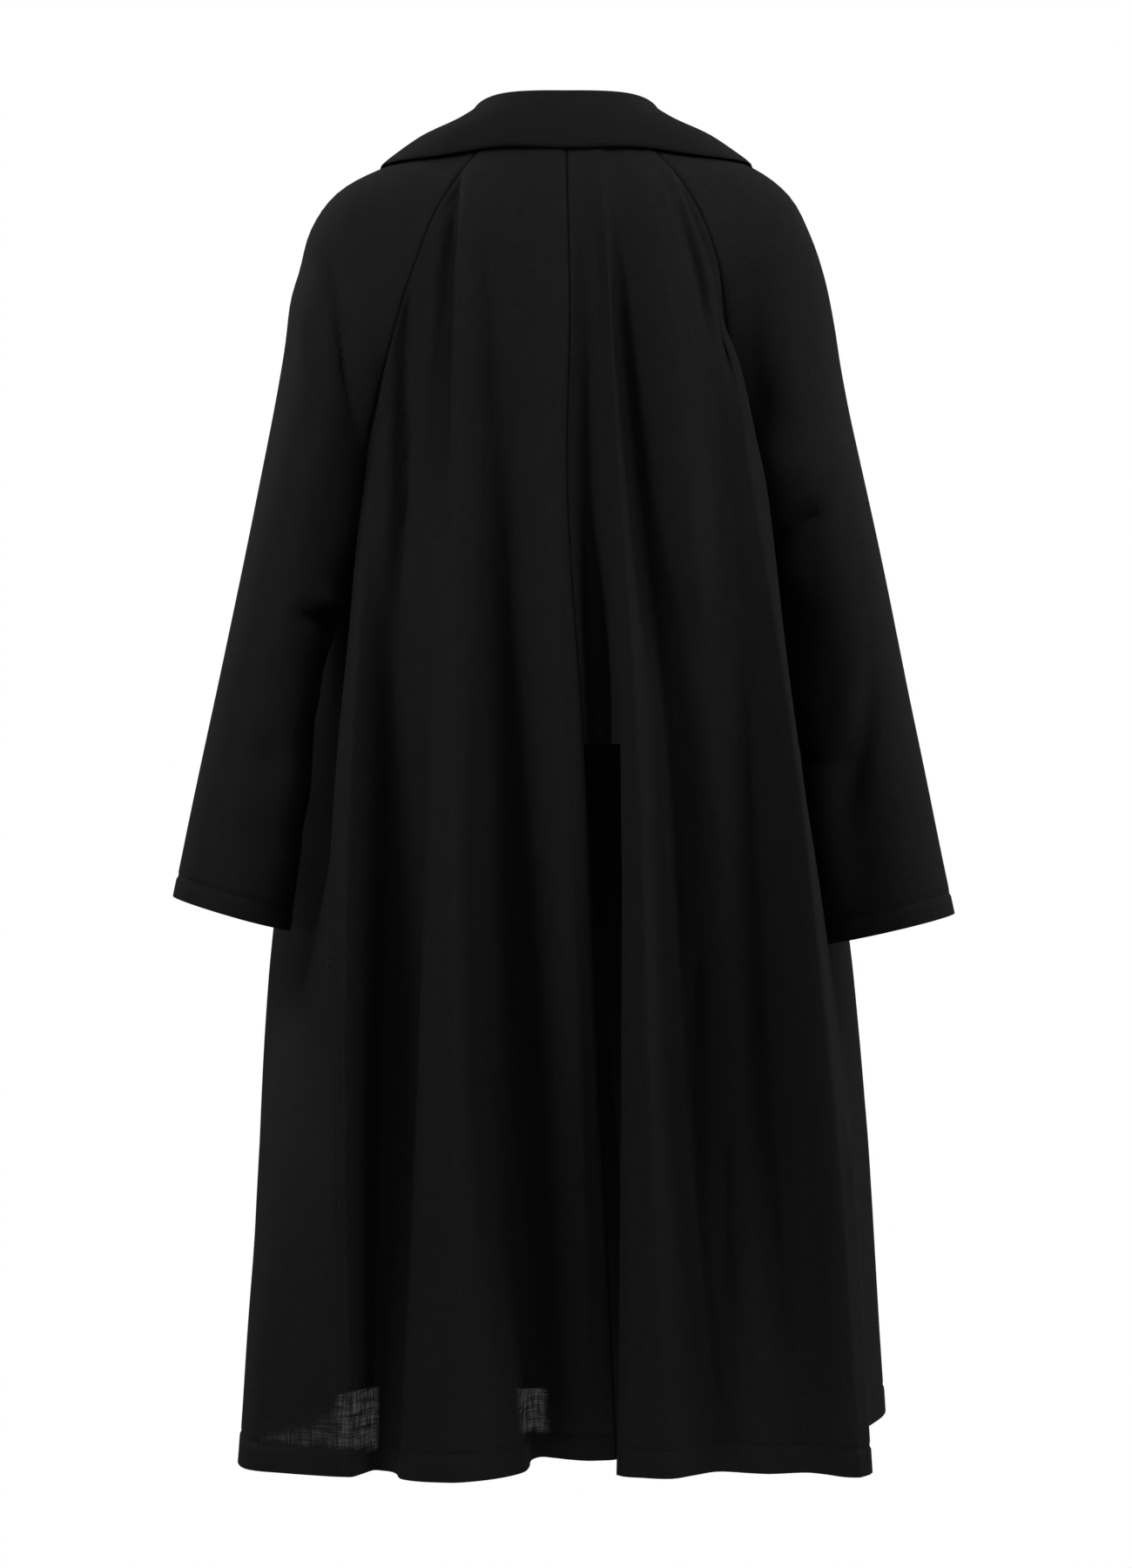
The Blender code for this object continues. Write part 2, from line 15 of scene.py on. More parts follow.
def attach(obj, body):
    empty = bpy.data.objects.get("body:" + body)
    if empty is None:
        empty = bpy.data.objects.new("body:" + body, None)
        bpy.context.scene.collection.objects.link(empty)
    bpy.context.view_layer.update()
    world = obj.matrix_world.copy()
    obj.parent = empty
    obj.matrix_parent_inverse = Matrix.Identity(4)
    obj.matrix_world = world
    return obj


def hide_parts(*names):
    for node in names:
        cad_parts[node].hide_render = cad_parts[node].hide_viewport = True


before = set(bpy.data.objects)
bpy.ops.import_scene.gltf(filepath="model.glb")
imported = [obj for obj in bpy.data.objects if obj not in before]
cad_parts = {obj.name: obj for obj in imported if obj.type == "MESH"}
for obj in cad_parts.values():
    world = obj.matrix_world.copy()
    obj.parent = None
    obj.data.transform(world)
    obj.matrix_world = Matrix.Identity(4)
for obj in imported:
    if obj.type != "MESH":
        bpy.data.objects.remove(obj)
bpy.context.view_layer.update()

# Cloth and sewing sizes in millimetres, and a millimetre in metres
MM = 0.001
CLOTH = 1.2
COLLAR_CLOTH = 2.4
FRONT_LAP = 26.0
LAP_STEP = 5.0
COLLAR_FRONT_SPACE = 5.0
COLLAR_BASE_IN = 2.5
COLLAR_BASE_UP = 0.3
HEM_STITCH_UP = 21.0
CUFF_STITCH_UP = 17.0
HEM_PROUD = 0.7
HEM_EASE = 2.0
HEM_DRAWN_IN = 0.9
HEM_DRAWN_WIDE = 1.6

# Camera in millimetres: level, straight behind the coat, with the picture's points and their step
VIEW_AWAY = 3000.0
VIEW_DOWN = 511.0
PICTURE_WIDE = 1300.0
PICTURE_HIGH = 1800.0
PICTURE_CENTRE = 650.0
PICTURE_LEVEL = 870.0
PICTURE_STEP = 0.71
SENSOR = 36.0

# Rows of every body panel, measured down: neck to underarm, then to the hem; vent's top; sleeve's lower rows
UPPER_ROWS = (14, 32, 55, 85, 120, 155, 190, 225, 260, 292)
LOWER_ROWS = (330, 370, 412, 455, 500, 545, 590, 635, 680, 730, 780, 830, 880, 930, 975, 1018, 1058)
BODY_ROWS = UPPER_ROWS + LOWER_ROWS
UNDERARM_ROW = len(UPPER_ROWS) - 1
VENT_DOWN = 500
SLEEVE_ROWS_BELOW = 12

# Seams: one row for each place along a seam, with columns down, across and out
CENTRE_BACK = (
    (14, 0, 70),
    (60, -1, 93),
    (150, -3, 116),
    (292, -1, 126),
    (500, -14, 126),
    (780, -27, 130),
    (1058, -39, 131),
)
RAGLAN_BACK_LEFT = (
    (14, 62, 46),
    (60, 94, 78),
    (130, 123, 96),
    (215, 147, 84),
    (256, 158, 62),
    (292, 164, 40),
)
RAGLAN_BACK_RIGHT = (
    (14, -62, 46),
    (60, -97, 77),
    (114, -119, 92),
    (160, -126, 80),
    (220, -134, 58),
    (292, -148, 30),
)
RAGLAN_FRONT_LEFT = (
    (40, 58, -50),
    (88, 88, -84),
    (150, 118, -98),
    (222, 146, -66),
    (265, 159, -12),
    (292, 164, 40),
)
RAGLAN_FRONT_RIGHT = (
    (40, -58, -50),
    (88, -88, -84),
    (150, -112, -98),
    (222, -132, -68),
    (265, -144, -18),
    (292, -148, 30),
)
SIDE_LEFT = (
    (292, 164, 40),
    (400, 171, 70),
    (500, 179, 104),
    (650, 184, 134),
    (780, 178, 158),
    (1058, 174, 200),
)
SIDE_RIGHT = (
    (292, -148, 30),
    (400, -166, 58),
    (500, -182, 84),
    (650, -204, 108),
    (780, -219, 138),
    (1058, -233, 188),
)
OVERARM_LEFT = (
    (16, 82, 0),
    (33, 149, 4),
    (67, 199, 8),
    (113, 214, 12),
    (220, 234, 16),
    (348, 259, 20),
    (504, 291, 30),
    (622, 315, 36),
)
OVERARM_RIGHT = (
    (16, -82, 0),
    (33, -152, 4),
    (60, -185, 8),
    (99, -202, 10),
    (220, -227, 14),
    (390, -263, 20),
    (518, -288, 28),
    (636, -312, 34),
)
UNDERARM_LEFT = (
    (292, 164, 40),
    (330, 170, 36),
    (383, 177, 34),
    (433, 194, 34),
    (525, 208, 36),
    (650, 222, 40),
)
UNDERARM_RIGHT = (
    (292, -148, 30),
    (330, -160, 24),
    (400, -173, 18),
    (500, -190, 14),
    (600, -201, 14),
    (662, -209, 16),
)

# How far down the overarm seam lies beside the underarm
OVERARM_AT_UNDERARM = 265

# Folds of the back: how far across and how far out each fold's line lies at every one of these heights
BACK_HEIGHTS = (14, 60, 150, 292, 500, 780, 1058)
BACK_FOLDS_LEFT = (
    ("centre flat", (14, 15, 17, 20, 6, -9, -16), (69, 93, 117, 128, 131, 137, 135)),
    ("inner valley", (34, 48, 58, 61, 56, 42, 20), (64, 91, 112, 113, 100, 96, 120)),
    ("cone inner flank", (41, 60, 70, 70, 73, 70, 34), (61, 91, 118, 128, 130, 138, 185)),
    ("cone crest", (48, 70, 78, 84, 86, 83, 79), (57, 90, 122, 141, 161, 193, 222)),
    ("cone outer flank", (55, 82, 91, 98, 103, 111, 124), (52, 86, 114, 127, 145, 175, 210)),
    ("cone foot", (56, 85, 99, 110, 113, 120, 133), (51, 85, 107, 104, 104, 116, 181)),
    ("outer valley", (58, 88, 114, 133, 138, 146, 148), (50, 83, 100, 90, 95, 108, 174)),
    ("side ridge", (60, 91, 124, 154, 168, 169, 163), (48, 81, 98, 78, 126, 161, 200)),
)
BACK_CELLS_LEFT = (2, 3, 3, 2, 3, 3, 2, 2, 2)
VENT_RETURN = ("vent return", (-5, -6, -8, -6, -11, -38, -53), (60, 84, 104, 100, 96, 95, 96))
VENT_RETURN_CELLS = 2
BACK_FOLDS_RIGHT = (
    ("centre valley", (-8, -9, -15, -16, -29, -29, -29), (69, 90, 107, 109, 97, 97, 97)),
    ("vent fold", (-18, -22, -27, -33, -42, -42, -39), (68, 92, 117, 128, 142, 170, 192)),
    ("vent crest", (-24, -29, -34, -43, -57, -67, -80), (67, 93, 121, 136, 160, 190, 208)),
    ("right valley", (-30, -36, -42, -55, -75, -91, -115), (65, 90, 110, 112, 108, 112, 180)),
    ("blade ridge", (-42, -60, -78, -95, -116, -132, -154), (60, 91, 121, 132, 120, 121, 189)),
    ("side valley", (-52, -80, -108, -126, -148, -166, -186), (54, 87, 111, 111, 107, 114, 184)),
    ("side ridge", (-58, -92, -122, -147, -177, -205, -222), (50, 83, 106, 114, 142, 176, 203)),
)
BACK_CELLS_RIGHT = (2, 2, 2, 2, 3, 3, 3, 3)
VENT_FOLD = 1
VENT_COLUMNS = sum(BACK_CELLS_RIGHT[:VENT_FOLD + 1])

# Plain fronts: the same kind of table, from the front edge to the side
FRONT_HEIGHTS = (14, 60, 150, 292, 500, 650, 780, 1058)
FRONT_EDGE_DOWN = (75, 115, 185, 292, 500, 650, 780, 1058)
FRONT_EDGE_OUT = (-72, -96, -126, -150, -160, -168, -177, -200)
FRONT_FOLDS_LEFT = (
    ("front flat", (34, 36, 50, 60, 62, 64, 68, 78),
     (-68, -94, -124, -146, -154, -158, -164, -184)),
    ("front ridge", (44, 56, 78, 106, 124, 132, 140, 156),
     (-62, -92, -122, -138, -152, -166, -180, -208)),
    ("front valley", (50, 72, 98, 138, 174, 190, 196, 208),
     (-57, -89, -116, -102, -116, -122, -124, -132)),
    ("side bulge", (54, 82, 110, 172, 222, 243, 248, 248),
     (-54, -86, -107, -60, -70, -66, -20, 60)),
    ("side hollow", (56, 86, 115, 157, 178, 204, 222, 247),
     (-52, -84, -102, 0, 20, 36, 84, 168)),
)
FRONT_FOLDS_RIGHT = (
    ("front flat", (-34, -36, -50, -60, -62, -64, -68, -78),
     (-68, -94, -124, -146, -154, -158, -164, -184)),
    ("front ridge", (-44, -56, -78, -104, -124, -134, -144, -164),
     (-62, -92, -122, -138, -152, -166, -182, -210)),
    ("front valley", (-50, -72, -96, -126, -164, -190, -202, -226),
     (-57, -89, -116, -108, -122, -128, -140, -178)),
    ("side bulge", (-54, -82, -107, -150, -203, -237, -249, -264),
     (-54, -86, -107, -60, -74, -100, -114, -150)),
    ("side hollow", (-56, -86, -110, -142, -171, -192, -212, -238),
     (-52, -84, -102, -4, 18, 20, 20, 20)),
)
FRONT_CELLS = (2, 2, 2, 2, 2, 2, 2)

# Sleeve depth: columns are share of the sleeve's rows, bulge to the back and bulge to the front
SLEEVE_DEPTHS = (
    (0.00, 10, 10),
    (0.30, 50, 62),
    (0.43, 60, 86),
    (0.70, 54, 72),
    (1.00, 48, 56),
)

# Sleeve sections: cells across, and how the curves' handles reach, lift, fade and lean in cap and tube
SLEEVE_CELLS = 8
CAP_HANDLE = 0.42
CAP_LIFT = 0.35
CAP_FADE = 3
TUBE_LEAN = 0.35
TUBE_HANDLE = 4.0 / 3.0

# Collar sections: share of the way to the front, stand, lean in, and the fall's reach, puff and clearance
COLLAR_SECTIONS = (
    (0.00, 36, 7, 17, 3, 5),
    (0.18, 37, 6, 17, 3, 5),
    (0.33, 37, 6, 28, 5, 5),
    (0.45, 34, 6, 64, 7, 5),
    (0.68, 26, 5, 72, 14, 6),
    (0.86, 20, 4, 80, 11, 11),
    (0.94, 17, 3, 72, 7, 12),
    (1.00, 15, 3, 44, 5, 12),
)

# Collar rows: rounds of softening, rows a side, half width and drop of the fold, and cells between the stops
COLLAR_SOFTENING = 3
COLLAR_ROWS_A_SIDE = 18
COLLAR_FOLD_HALF = 4.5
COLLAR_FOLD_DROP = 5.0
COLLAR_CELLS = (3, 2, 2, 2, 2)

# How finely the cloth is made: cells for each cell of the tables, and extra columns beside a seam
BODY_FINE = (5, 4)
FRONT_FINE = (5, 6)
SLEEVE_FINE = (4, 6)
COLLAR_FINE = (2, 2)
SEAM_COLUMNS = (0.05, 0.11)

# Lines of the cloth above its hem or cuff in millimetres, and the angle past which an edge stays sharp
HEM_LINES = (36, 31, 27, 24, 22, 21, 20, 18, 13, 7, 2.5, 0)
CUFF_LINES = (28, 24, 20, 18, 17, 16, 14, 9, 5, 2, 0)
SHARP_ANGLE = 60

# Creases of each piece seen from behind: height in millimetres, half width and places in picture points
BACK_CREASES = {
    "sleeve_back_left": (
        (-8.0, 7, ((368, 258), (381, 341), (392, 419), (405, 484), (417, 552))),
        (4.0, 14, ((345, 300), (352, 380), (368, 470), (385, 540))),
        (3.0, 10, ((408, 290), (416, 360), (424, 430), (428, 500))),
        (-9.0, 9, ((430, 694), (402, 702), (378, 706), (350, 704), (330, 700))),
        (5.0, 10, ((430, 672), (402, 682), (372, 686), (345, 688))),
        (8.0, 20, ((436, 440), (414, 560), (398, 630), (388, 690))),
        (8.0, 20, ((368, 700), (354, 770), (337, 880), (322, 1000), (306, 1120))),
        (-3.5, 22, ((372, 800), (330, 860), (276, 876))),
        (-2.5, 18, ((360, 930), (310, 960), (250, 950))),
    ),
    "sleeve_back_right": (
        (-3.5, 16, ((868, 250), (862, 340), (866, 440), (880, 545))),
        (3.0, 18, ((902, 260), (906, 380), (914, 500))),
        (-7.0, 8, ((962, 586), (934, 590), (908, 606), (893, 638), (887, 672))),
        (-3.0, 16, ((894, 640), (904, 700), (920, 770))),
        (8.0, 20, ((880, 460), (892, 560), (906, 640), (920, 715))),
        (8.0, 20, ((920, 700), (930, 790), (942, 870), (956, 990), (968, 1120))),
        (-5.0, 8, ((910, 866), (938, 869), (962, 873), (988, 868))),
        (-4.5, 14, ((1008, 700), (1000, 790), (988, 860), (966, 950), (955, 990))),
        (2.5, 20, ((965, 760), (968, 840), (950, 920))),
    ),
    "back_left": (
        (-14.0, 8, ((530, 110), (522, 200), (515, 290), (509, 400), (504, 520), (499, 760))),
        (4.0, 12, ((546, 150), (536, 240), (530, 340), (525, 460), (518, 700))),
        (-10.0, 8, ((474, 250), (466, 330), (461, 430), (460, 540), (460, 760))),
        (1.6, 8, ((640, 300), (642, 480), (640, 640), (648, 800))),
        (-3.5, 10, ((560, 230), (552, 380), (551, 520))),
        (3.2, 3, ((384, 1050), (386, 1135), (391, 1306), (393, 1413), (391, 1515))),
    ),
    "back_right": (
        (3.0, 3, ((966, 1260), (974, 1340), (984, 1460))),
        (-6.5, 8, ((702, 200), (710, 300), (717, 406), (737, 631), (760, 830))),
        (-4.5, 7, ((682, 210), (690, 320), (695, 450))),
        (-6.0, 7, ((757, 190), (785, 250), (806, 320), (820, 420))),
        (-7.0, 8, ((768, 186), (800, 240), (826, 330), (848, 470))),
        (-3.0, 22, ((758, 650), (800, 735), (816, 860))),
        (-2.5, 10, ((797, 1050), (796, 1200), (800, 1370))),
        (-2.5, 9, ((830, 1280), (832, 1400), (836, 1540))),
        (-2.0, 14, ((884, 1060), (884, 1200), (886, 1370))),
        (-5.0, 12, ((676, 560), (683, 680), (690, 800), (694, 960))),
    ),
}

# Creases of the hidden front, seen straight from the front: the same columns
FRONT_CREASES = {
    "front_left": (
        (-3.0, 16, ((700, 330), (712, 470), (718, 640))),
        (-2.5, 12, ((790, 300), (800, 420), (822, 560), (836, 720))),
        (-3.0, 18, ((742, 900), (748, 1180), (756, 1500))),
        (2.5, 20, ((690, 800), (694, 1100), (700, 1500))),
    ),
    "front_right": (
        (-3.0, 15, ((590, 340), (582, 480), (574, 660))),
        (-2.5, 12, ((512, 310), (500, 430), (482, 570), (468, 720))),
        (-3.0, 18, ((560, 880), (552, 1160), (540, 1480))),
        (2.5, 20, ((612, 820), (608, 1120), (600, 1500))),
    ),
    "sleeve_front_left": (
        (-6.0, 13, ((868, 300), (880, 400), (888, 500))),
        (-5.0, 12, ((955, 690), (925, 716), (898, 724))),
        (-4.0, 15, ((950, 770), (925, 790), (905, 820))),
        (-3.0, 20, ((1010, 850), (985, 910), (960, 950))),
    ),
    "sleeve_front_right": (
        (-6.0, 13, ((438, 300), (424, 400), (416, 500))),
        (-5.0, 12, ((352, 680), (380, 706), (408, 716))),
        (-4.0, 15, ((350, 772), (372, 800), (398, 812))),
        (-3.0, 20, ((296, 850), (318, 920), (345, 950))),
    ),
}

# Each crease: share of its length that fades, share of its height that varies, waves, and fine steps
CREASE_END = 0.3
CREASE_UNEVEN = 0.25
CREASE_WAVES = 9.0
CREASE_STEPS = 6

# Seams in millimetres: roll's height, widths of groove and roll, way over which creases fade, and width of the
# painted shade line along a seam
SEAM_ROLL = 1.5
SEAM_GROOVE = 2.0
SEAM_ROLL_WIDE = 16.0
SEAM_FREE = 6.0
SEAM_SHADE_WIDE = 0.8

# Hem stitches in millimetres: sides, pitch, length and thickness, with how the ends narrow and dip
STITCH_SIDES = 6
STITCH_PITCH = 4.2
STITCH_LENGTH = 3.1
STITCH_THICK = 0.7
STITCH_TAPER = 0.55
STITCH_DIP = 0.28

# Pocket tacks on the side seams: piece, place down the picture and threads; then sizes in millimetres
POCKET_TACKS = (
    ("back_left", 1100, 5),
    ("back_right", 1236, 5),
)
TACK_LENGTH = 7.0
TACK_PITCH = 0.7

# Patches where light shows through a single layer: piece, how much shows, and corners in picture points
SHEER_PATCHES = (
    ("front_left", 0.04, ((296, 1652), (345, 1640), (378, 1629), (394, 1592), (394, 1662), (330, 1657))),
    ("back_left", 0.075, ((384, 1597), (392, 1590), (432, 1590), (432, 1661), (384, 1661))),
    ("back_left", 0.07, ((595, 1580), (624, 1577), (628, 1643), (600, 1643))),
)

# Their pieces, soft edge in picture points, and how close together the streaks of their open weave lie
SHEER_PIECES = {patch[0] for patch in SHEER_PATCHES}
SHEER_SOFT = 7.0
OPEN_WEAVE = 1.8

# Cloth: darkest and lightest yarn with the shades between which they change, roughness, and colour and
# strength of the painted seam shade
CLOTH_TONES = ((0.0136, 0.0140, 0.0149, 1.0), (0.0222, 0.0228, 0.0243, 1.0))
CLOTH_SHADES = (0.3, 0.7)
CLOTH_ROUGH = (0.92, 0.76)
SEAM_SHADE_TONE = (0.002, 0.002, 0.0022, 1.0)
SEAM_SHADE_STRENGTH = 0.9

# Sewing thread: its darkest and lightest colour
THREAD_TONES = ((0.012, 0.012, 0.014, 1.0), (0.03, 0.03, 0.034, 1.0))

# Weave: threads a metre, streaks a metre across and along yarn, yarn's share of the shade, range of thin yarn
CLOTH_THREADS = 950.0
COLLAR_THREADS = 900.0
STREAKS_ACROSS = 520.0
STREAKS_ALONG = 34.0
YARN_SHARE = 0.8
THIN_YARN = (0.68, 0.32)

# Light: fill from all round, and lamps with name, place, what each faces, width, height, power and degrees
FILL_LIGHT = 0.1
SOFT_LIGHTS = (
    ("left_back_light", (1.7, 1.25, 1.5), (0.1, 0.1, -0.1), 0.9, 0.9, 17.0, 180),
    ("right_back_light", (-1.7, 1.25, 1.5), (-0.1, 0.1, -0.1), 0.9, 0.9, 16.0, 180),
    ("top_back_light", (0.0, 1.5, 2.1), (0.0, 0.1, -0.2), 1.0, 0.8, 7.0, 180),
    ("left_side_light", (2.2, 0.2, 1.0), (0.2, 0.0, -0.2), 0.8, 1.0, 3.0, 180),
    ("right_side_light", (-2.2, 0.2, 1.0), (-0.2, 0.0, -0.2), 0.8, 1.0, 13.0, 180),
    ("left_front_light", (1.9, -1.5, 1.4), (0.0, -0.1, -0.2), 1.0, 1.0, 34.0, 180),
    ("right_front_light", (-1.9, -1.5, 1.4), (0.0, -0.1, -0.2), 1.0, 1.0, 22.0, 180),
    ("left_sleeve_light", (1.6, 1.3, -0.2), (0.27, 0.06, -0.36), 0.5, 0.5, 0.22, 30),
    ("right_sleeve_light", (-1.6, 1.3, -0.2), (-0.27, 0.06, -0.45), 0.5, 0.5, 0.18, 32),
)

# Floor in metres: how far down it lies, its radius, and the sides of its round edge
FLOOR_DOWN = 1.5
FLOOR_RADIUS = 1.4
FLOOR_SIDES = 128

# Soft unevenness of hanging cloth in millimetres
SLACK = 1.1
SLACK_WIDE = 46.0
SLACK_TALL = 150.0


def smooth(knots, values, places):
    """Values at places on a cubic through the knots."""
    knots = np.asarray(knots, float)
    values = np.asarray(values, float)
    places = np.atleast_1d(np.asarray(places, float))
    slopes = np.gradient(values, knots, axis=0)
    start = np.clip(np.searchsorted(knots, places, side="right") - 1, 0, len(knots) - 2)
    span = knots[start + 1] - knots[start]
    share = (places - knots[start]) / span
    if values.ndim > 1:
        span = span[:, None]
        share = share[:, None]
    rise = values[start + 1] - values[start]
    square = share * share
    cube = square * share
    bend_in = (cube - 2 * square + share) * span * slopes[start]
    bend_out = (cube - square) * span * slopes[start + 1]
    return values[start] + (3 * square - 2 * cube) * rise + bend_in + bend_out


def straight(knots, values, places):
    """Values at places on straight runs through the knots."""
    return np.stack([np.interp(places, knots, column) for column in values.T], axis=-1)


def unit(vectors):
    """The vectors at length one."""
    return vectors / np.linalg.norm(vectors, axis=-1, keepdims=True)


def as_points(table):
    """Rows of (down, across, out) as points (x, y, z)."""
    table = np.asarray(table, float)
    return np.column_stack((table[:, 1], table[:, 2], -table[:, 0]))


def lengths(points):
    """Length along a run of points, at each of them."""
    steps = np.linalg.norm(np.diff(points, axis=0), axis=1)
    return np.concatenate(([0.0], np.cumsum(steps)))


def seam_at(table, downs):
    """Points of a seam at the given heights."""
    table = np.asarray(table, float)
    return smooth(table[:, 0], as_points(table), downs)


def seam_along(table, count, first=0.0, last=1.0):
    """Points evenly spaced along a seam, between two shares of its length."""
    points = as_points(table)
    length = lengths(points)
    return smooth(length, points, np.linspace(first, last, count) * length[-1])


def share_at(table, down):
    """Share of a seam's length at which it reaches a height."""
    points = as_points(table)
    length = lengths(points)
    return np.interp(down, -points[:, 2], length) / length[-1]


def across_row(stops, cells):
    """One row of a panel: a smooth run through its stops, with so many cells between each two."""
    length = lengths(stops)
    places = [np.linspace(length[i], length[i + 1], count, endpoint=False)
              for i, count in enumerate(cells)]
    places.append(length[-1:])
    return smooth(length, stops, np.concatenate(places))


def fold_lines(folds, heights, downs):
    """Places across and out of each fold line at every row."""
    across = [smooth(heights, fold[1], downs) for fold in folds]
    out = [smooth(heights, fold[2], downs) for fold in folds]
    return np.array(across).T, np.array(out).T


def side_edge(raglan_points, side_table):
    """The outer edge of a body panel: its raglan seam, then its side seam."""
    return np.vstack((raglan_points, seam_at(side_table, LOWER_ROWS)))


def back_panel(folds, cells, raglan, side):
    """Grid of a back panel, from the centre seam to the raglan and side seams."""
    centre = seam_at(CENTRE_BACK, BODY_ROWS)
    edge = side_edge(seam_at(raglan, UPPER_ROWS), side)
    across, out = fold_lines(folds, BACK_HEIGHTS, BODY_ROWS)
    grid = []
    for row, down in enumerate(BODY_ROWS):
        lines = np.column_stack((across[row], out[row], np.full(len(folds), -float(down))))
        grid.append(across_row(np.vstack((centre[row], lines, edge[row])), cells))
    return np.array(grid)


def vent_return():
    """Grid of the turned-in edge beside the vent, from its free edge to the centre seam."""
    downs = BODY_ROWS[BODY_ROWS.index(VENT_DOWN):]
    across, out = fold_lines((VENT_RETURN,), BACK_HEIGHTS, downs)
    edge = np.column_stack((across[:, 0], out[:, 0], -np.asarray(downs, float)))
    centre = seam_at(CENTRE_BACK, downs)
    return np.stack((edge, 0.5 * (edge + centre), centre), axis=1)


def front_panel(folds, raglan, side, hand, step):
    """Grid of a front panel, from its front edge past the middle to the raglan and side seams."""
    edge = side_edge(seam_along(raglan, len(UPPER_ROWS)), side)
    across, out = fold_lines(folds, FRONT_HEIGHTS, BODY_ROWS)
    edge_down = smooth(FRONT_HEIGHTS, FRONT_EDGE_DOWN, BODY_ROWS)
    edge_out = smooth(FRONT_HEIGHTS, FRONT_EDGE_OUT, BODY_ROWS) + step
    shares = (np.arange(len(folds)) + 1.0) / (len(folds) + 1.0)
    grid = []
    for row in range(len(BODY_ROWS)):
        level = -edge_down[row] + shares * (edge[row][2] + edge_down[row])
        lines = np.column_stack((across[row], out[row], level))
        front_edge = np.array((-hand * FRONT_LAP, edge_out[row], -edge_down[row]))
        lap_line = front_edge * np.array((-1.0, 1.0, 1.0))
        grid.append(across_row(np.vstack((front_edge, lap_line, lines, edge[row])), FRONT_CELLS))
    return np.array(grid)


def bezier(first, first_handle, last_handle, last, count):
    """Points along a cubic curve from first to last."""
    share = np.linspace(0.0, 1.0, count)[:, None]
    rest = 1.0 - share
    return (rest ** 3 * first + 3 * rest ** 2 * share * first_handle
            + 3 * rest * share ** 2 * last_handle + share ** 3 * last)


def sleeve_half(raglan_points, underarm, overarm, facing):
    """Grid of half a sleeve, from its raglan and underarm seams to the overarm seam."""
    turn = share_at(overarm, OVERARM_AT_UNDERARM)
    upper = seam_along(overarm, len(UPPER_ROWS), 0.0, turn)
    lower = seam_along(overarm, SLEEVE_ROWS_BELOW + 1, turn, 1.0)[1:]
    outer = np.vstack((upper, lower))
    inner = np.vstack((raglan_points, seam_along(underarm, SLEEVE_ROWS_BELOW + 1)[1:]))
    depths = np.asarray(SLEEVE_DEPTHS, float)
    depth_column = 1 if facing > 0 else 2
    bulge = smooth(depths[:, 0], depths[:, depth_column], np.linspace(0.0, 1.0, len(inner)))
    away = np.array((0.0, facing, 0.0))
    grid = []
    for row in range(len(inner)):
        chord = np.linalg.norm(outer[row] - inner[row])
        tube = min(1.0, row / UNDERARM_ROW) ** CAP_FADE
        level = (outer[row] - inner[row]) / chord
        heading = unit((1.0 - tube + TUBE_LEAN * tube) * level + (CAP_LIFT + tube) * away)
        reach = (1.0 - tube) * CAP_HANDLE * chord + tube * TUBE_HANDLE * bulge[row]
        grid.append(bezier(inner[row], inner[row] + reach * heading, outer[row] + reach * away,
                           outer[row], SLEEVE_CELLS + 1))
    return np.array(grid)


def outward(grid, flip):
    """Outward normal at every point of a grid."""
    normals = unit(np.cross(np.gradient(grid, axis=1), np.gradient(grid, axis=0)))
    return -normals if flip else normals


def neck_columns(grid, flip):
    """For each column of a panel: its run down from the neck, its outward normals and its length."""
    normals = outward(grid, flip)
    columns = []
    for column in range(grid.shape[1]):
        run = grid[:UNDERARM_ROW, column]
        columns.append((run, normals[:UNDERARM_ROW, column], lengths(run)))
    return columns


def on_outside(column, reach, clear):
    """A point a given way down a column, held clear of its outside."""
    run, normals, length = column
    return straight(length, run, reach) + clear * unit(straight(length, normals, reach))


def collar_side(panels):
    """Sections of one side of the collar, from centre back to the front end, evenly spaced."""
    back, sleeve_back, sleeve_front, front = (neck_columns(*panel) for panel in panels)
    columns = back + sleeve_back[1:] + sleeve_front[-2::-1] + front[-2::-1]
    hand = np.sign(sleeve_back[-1][0][0, 0])
    columns = [column for column in columns
               if column[0][0, 1] > 0.0 or hand * column[0][0, 0] > COLLAR_FRONT_SPACE]
    ring = np.array([column[0][0] for column in columns])
    length = lengths(ring)
    table = np.asarray(COLLAR_SECTIONS, float)
    sizes = smooth(table[:, 0], table[:, 1:], length / length[-1])
    along = np.gradient(ring, axis=0)
    up = np.array((0.0, 0.0, 1.0))
    sections = []
    for column, point, heading, (stand, lean, reach, puff, clear) in zip(columns, ring, along, sizes):
        outside = hand * unit(np.array((-heading[1], heading[0], 0.0)))
        tilt = COLLAR_BASE_IN * lean / stand
        base = point - COLLAR_BASE_IN * outside + (COLLAR_BASE_UP - tilt) * up
        fold = point - lean * outside + stand * up
        stand_top = fold - COLLAR_FOLD_HALF * outside - COLLAR_FOLD_DROP * up
        fall_top = fold + COLLAR_FOLD_HALF * outside - COLLAR_FOLD_DROP * up
        edge = on_outside(column, reach, clear)
        middle = 0.5 * (fall_top + edge) + puff * unit(outside + up)
        sections.append((base, stand_top, fold, fall_top, middle, edge))
    sections = np.array(sections)
    places = np.linspace(0.0, length[-1], COLLAR_ROWS_A_SIDE + 1)
    even = straight(length, sections.reshape(len(sections), -1), places)
    even = even.reshape(len(places), sections.shape[1], 3)
    for _ in range(COLLAR_SOFTENING):
        even[1:-1, 1:-1] = 0.25 * even[:-2, 1:-1] + 0.5 * even[1:-1, 1:-1] + 0.25 * even[2:, 1:-1]
    return even


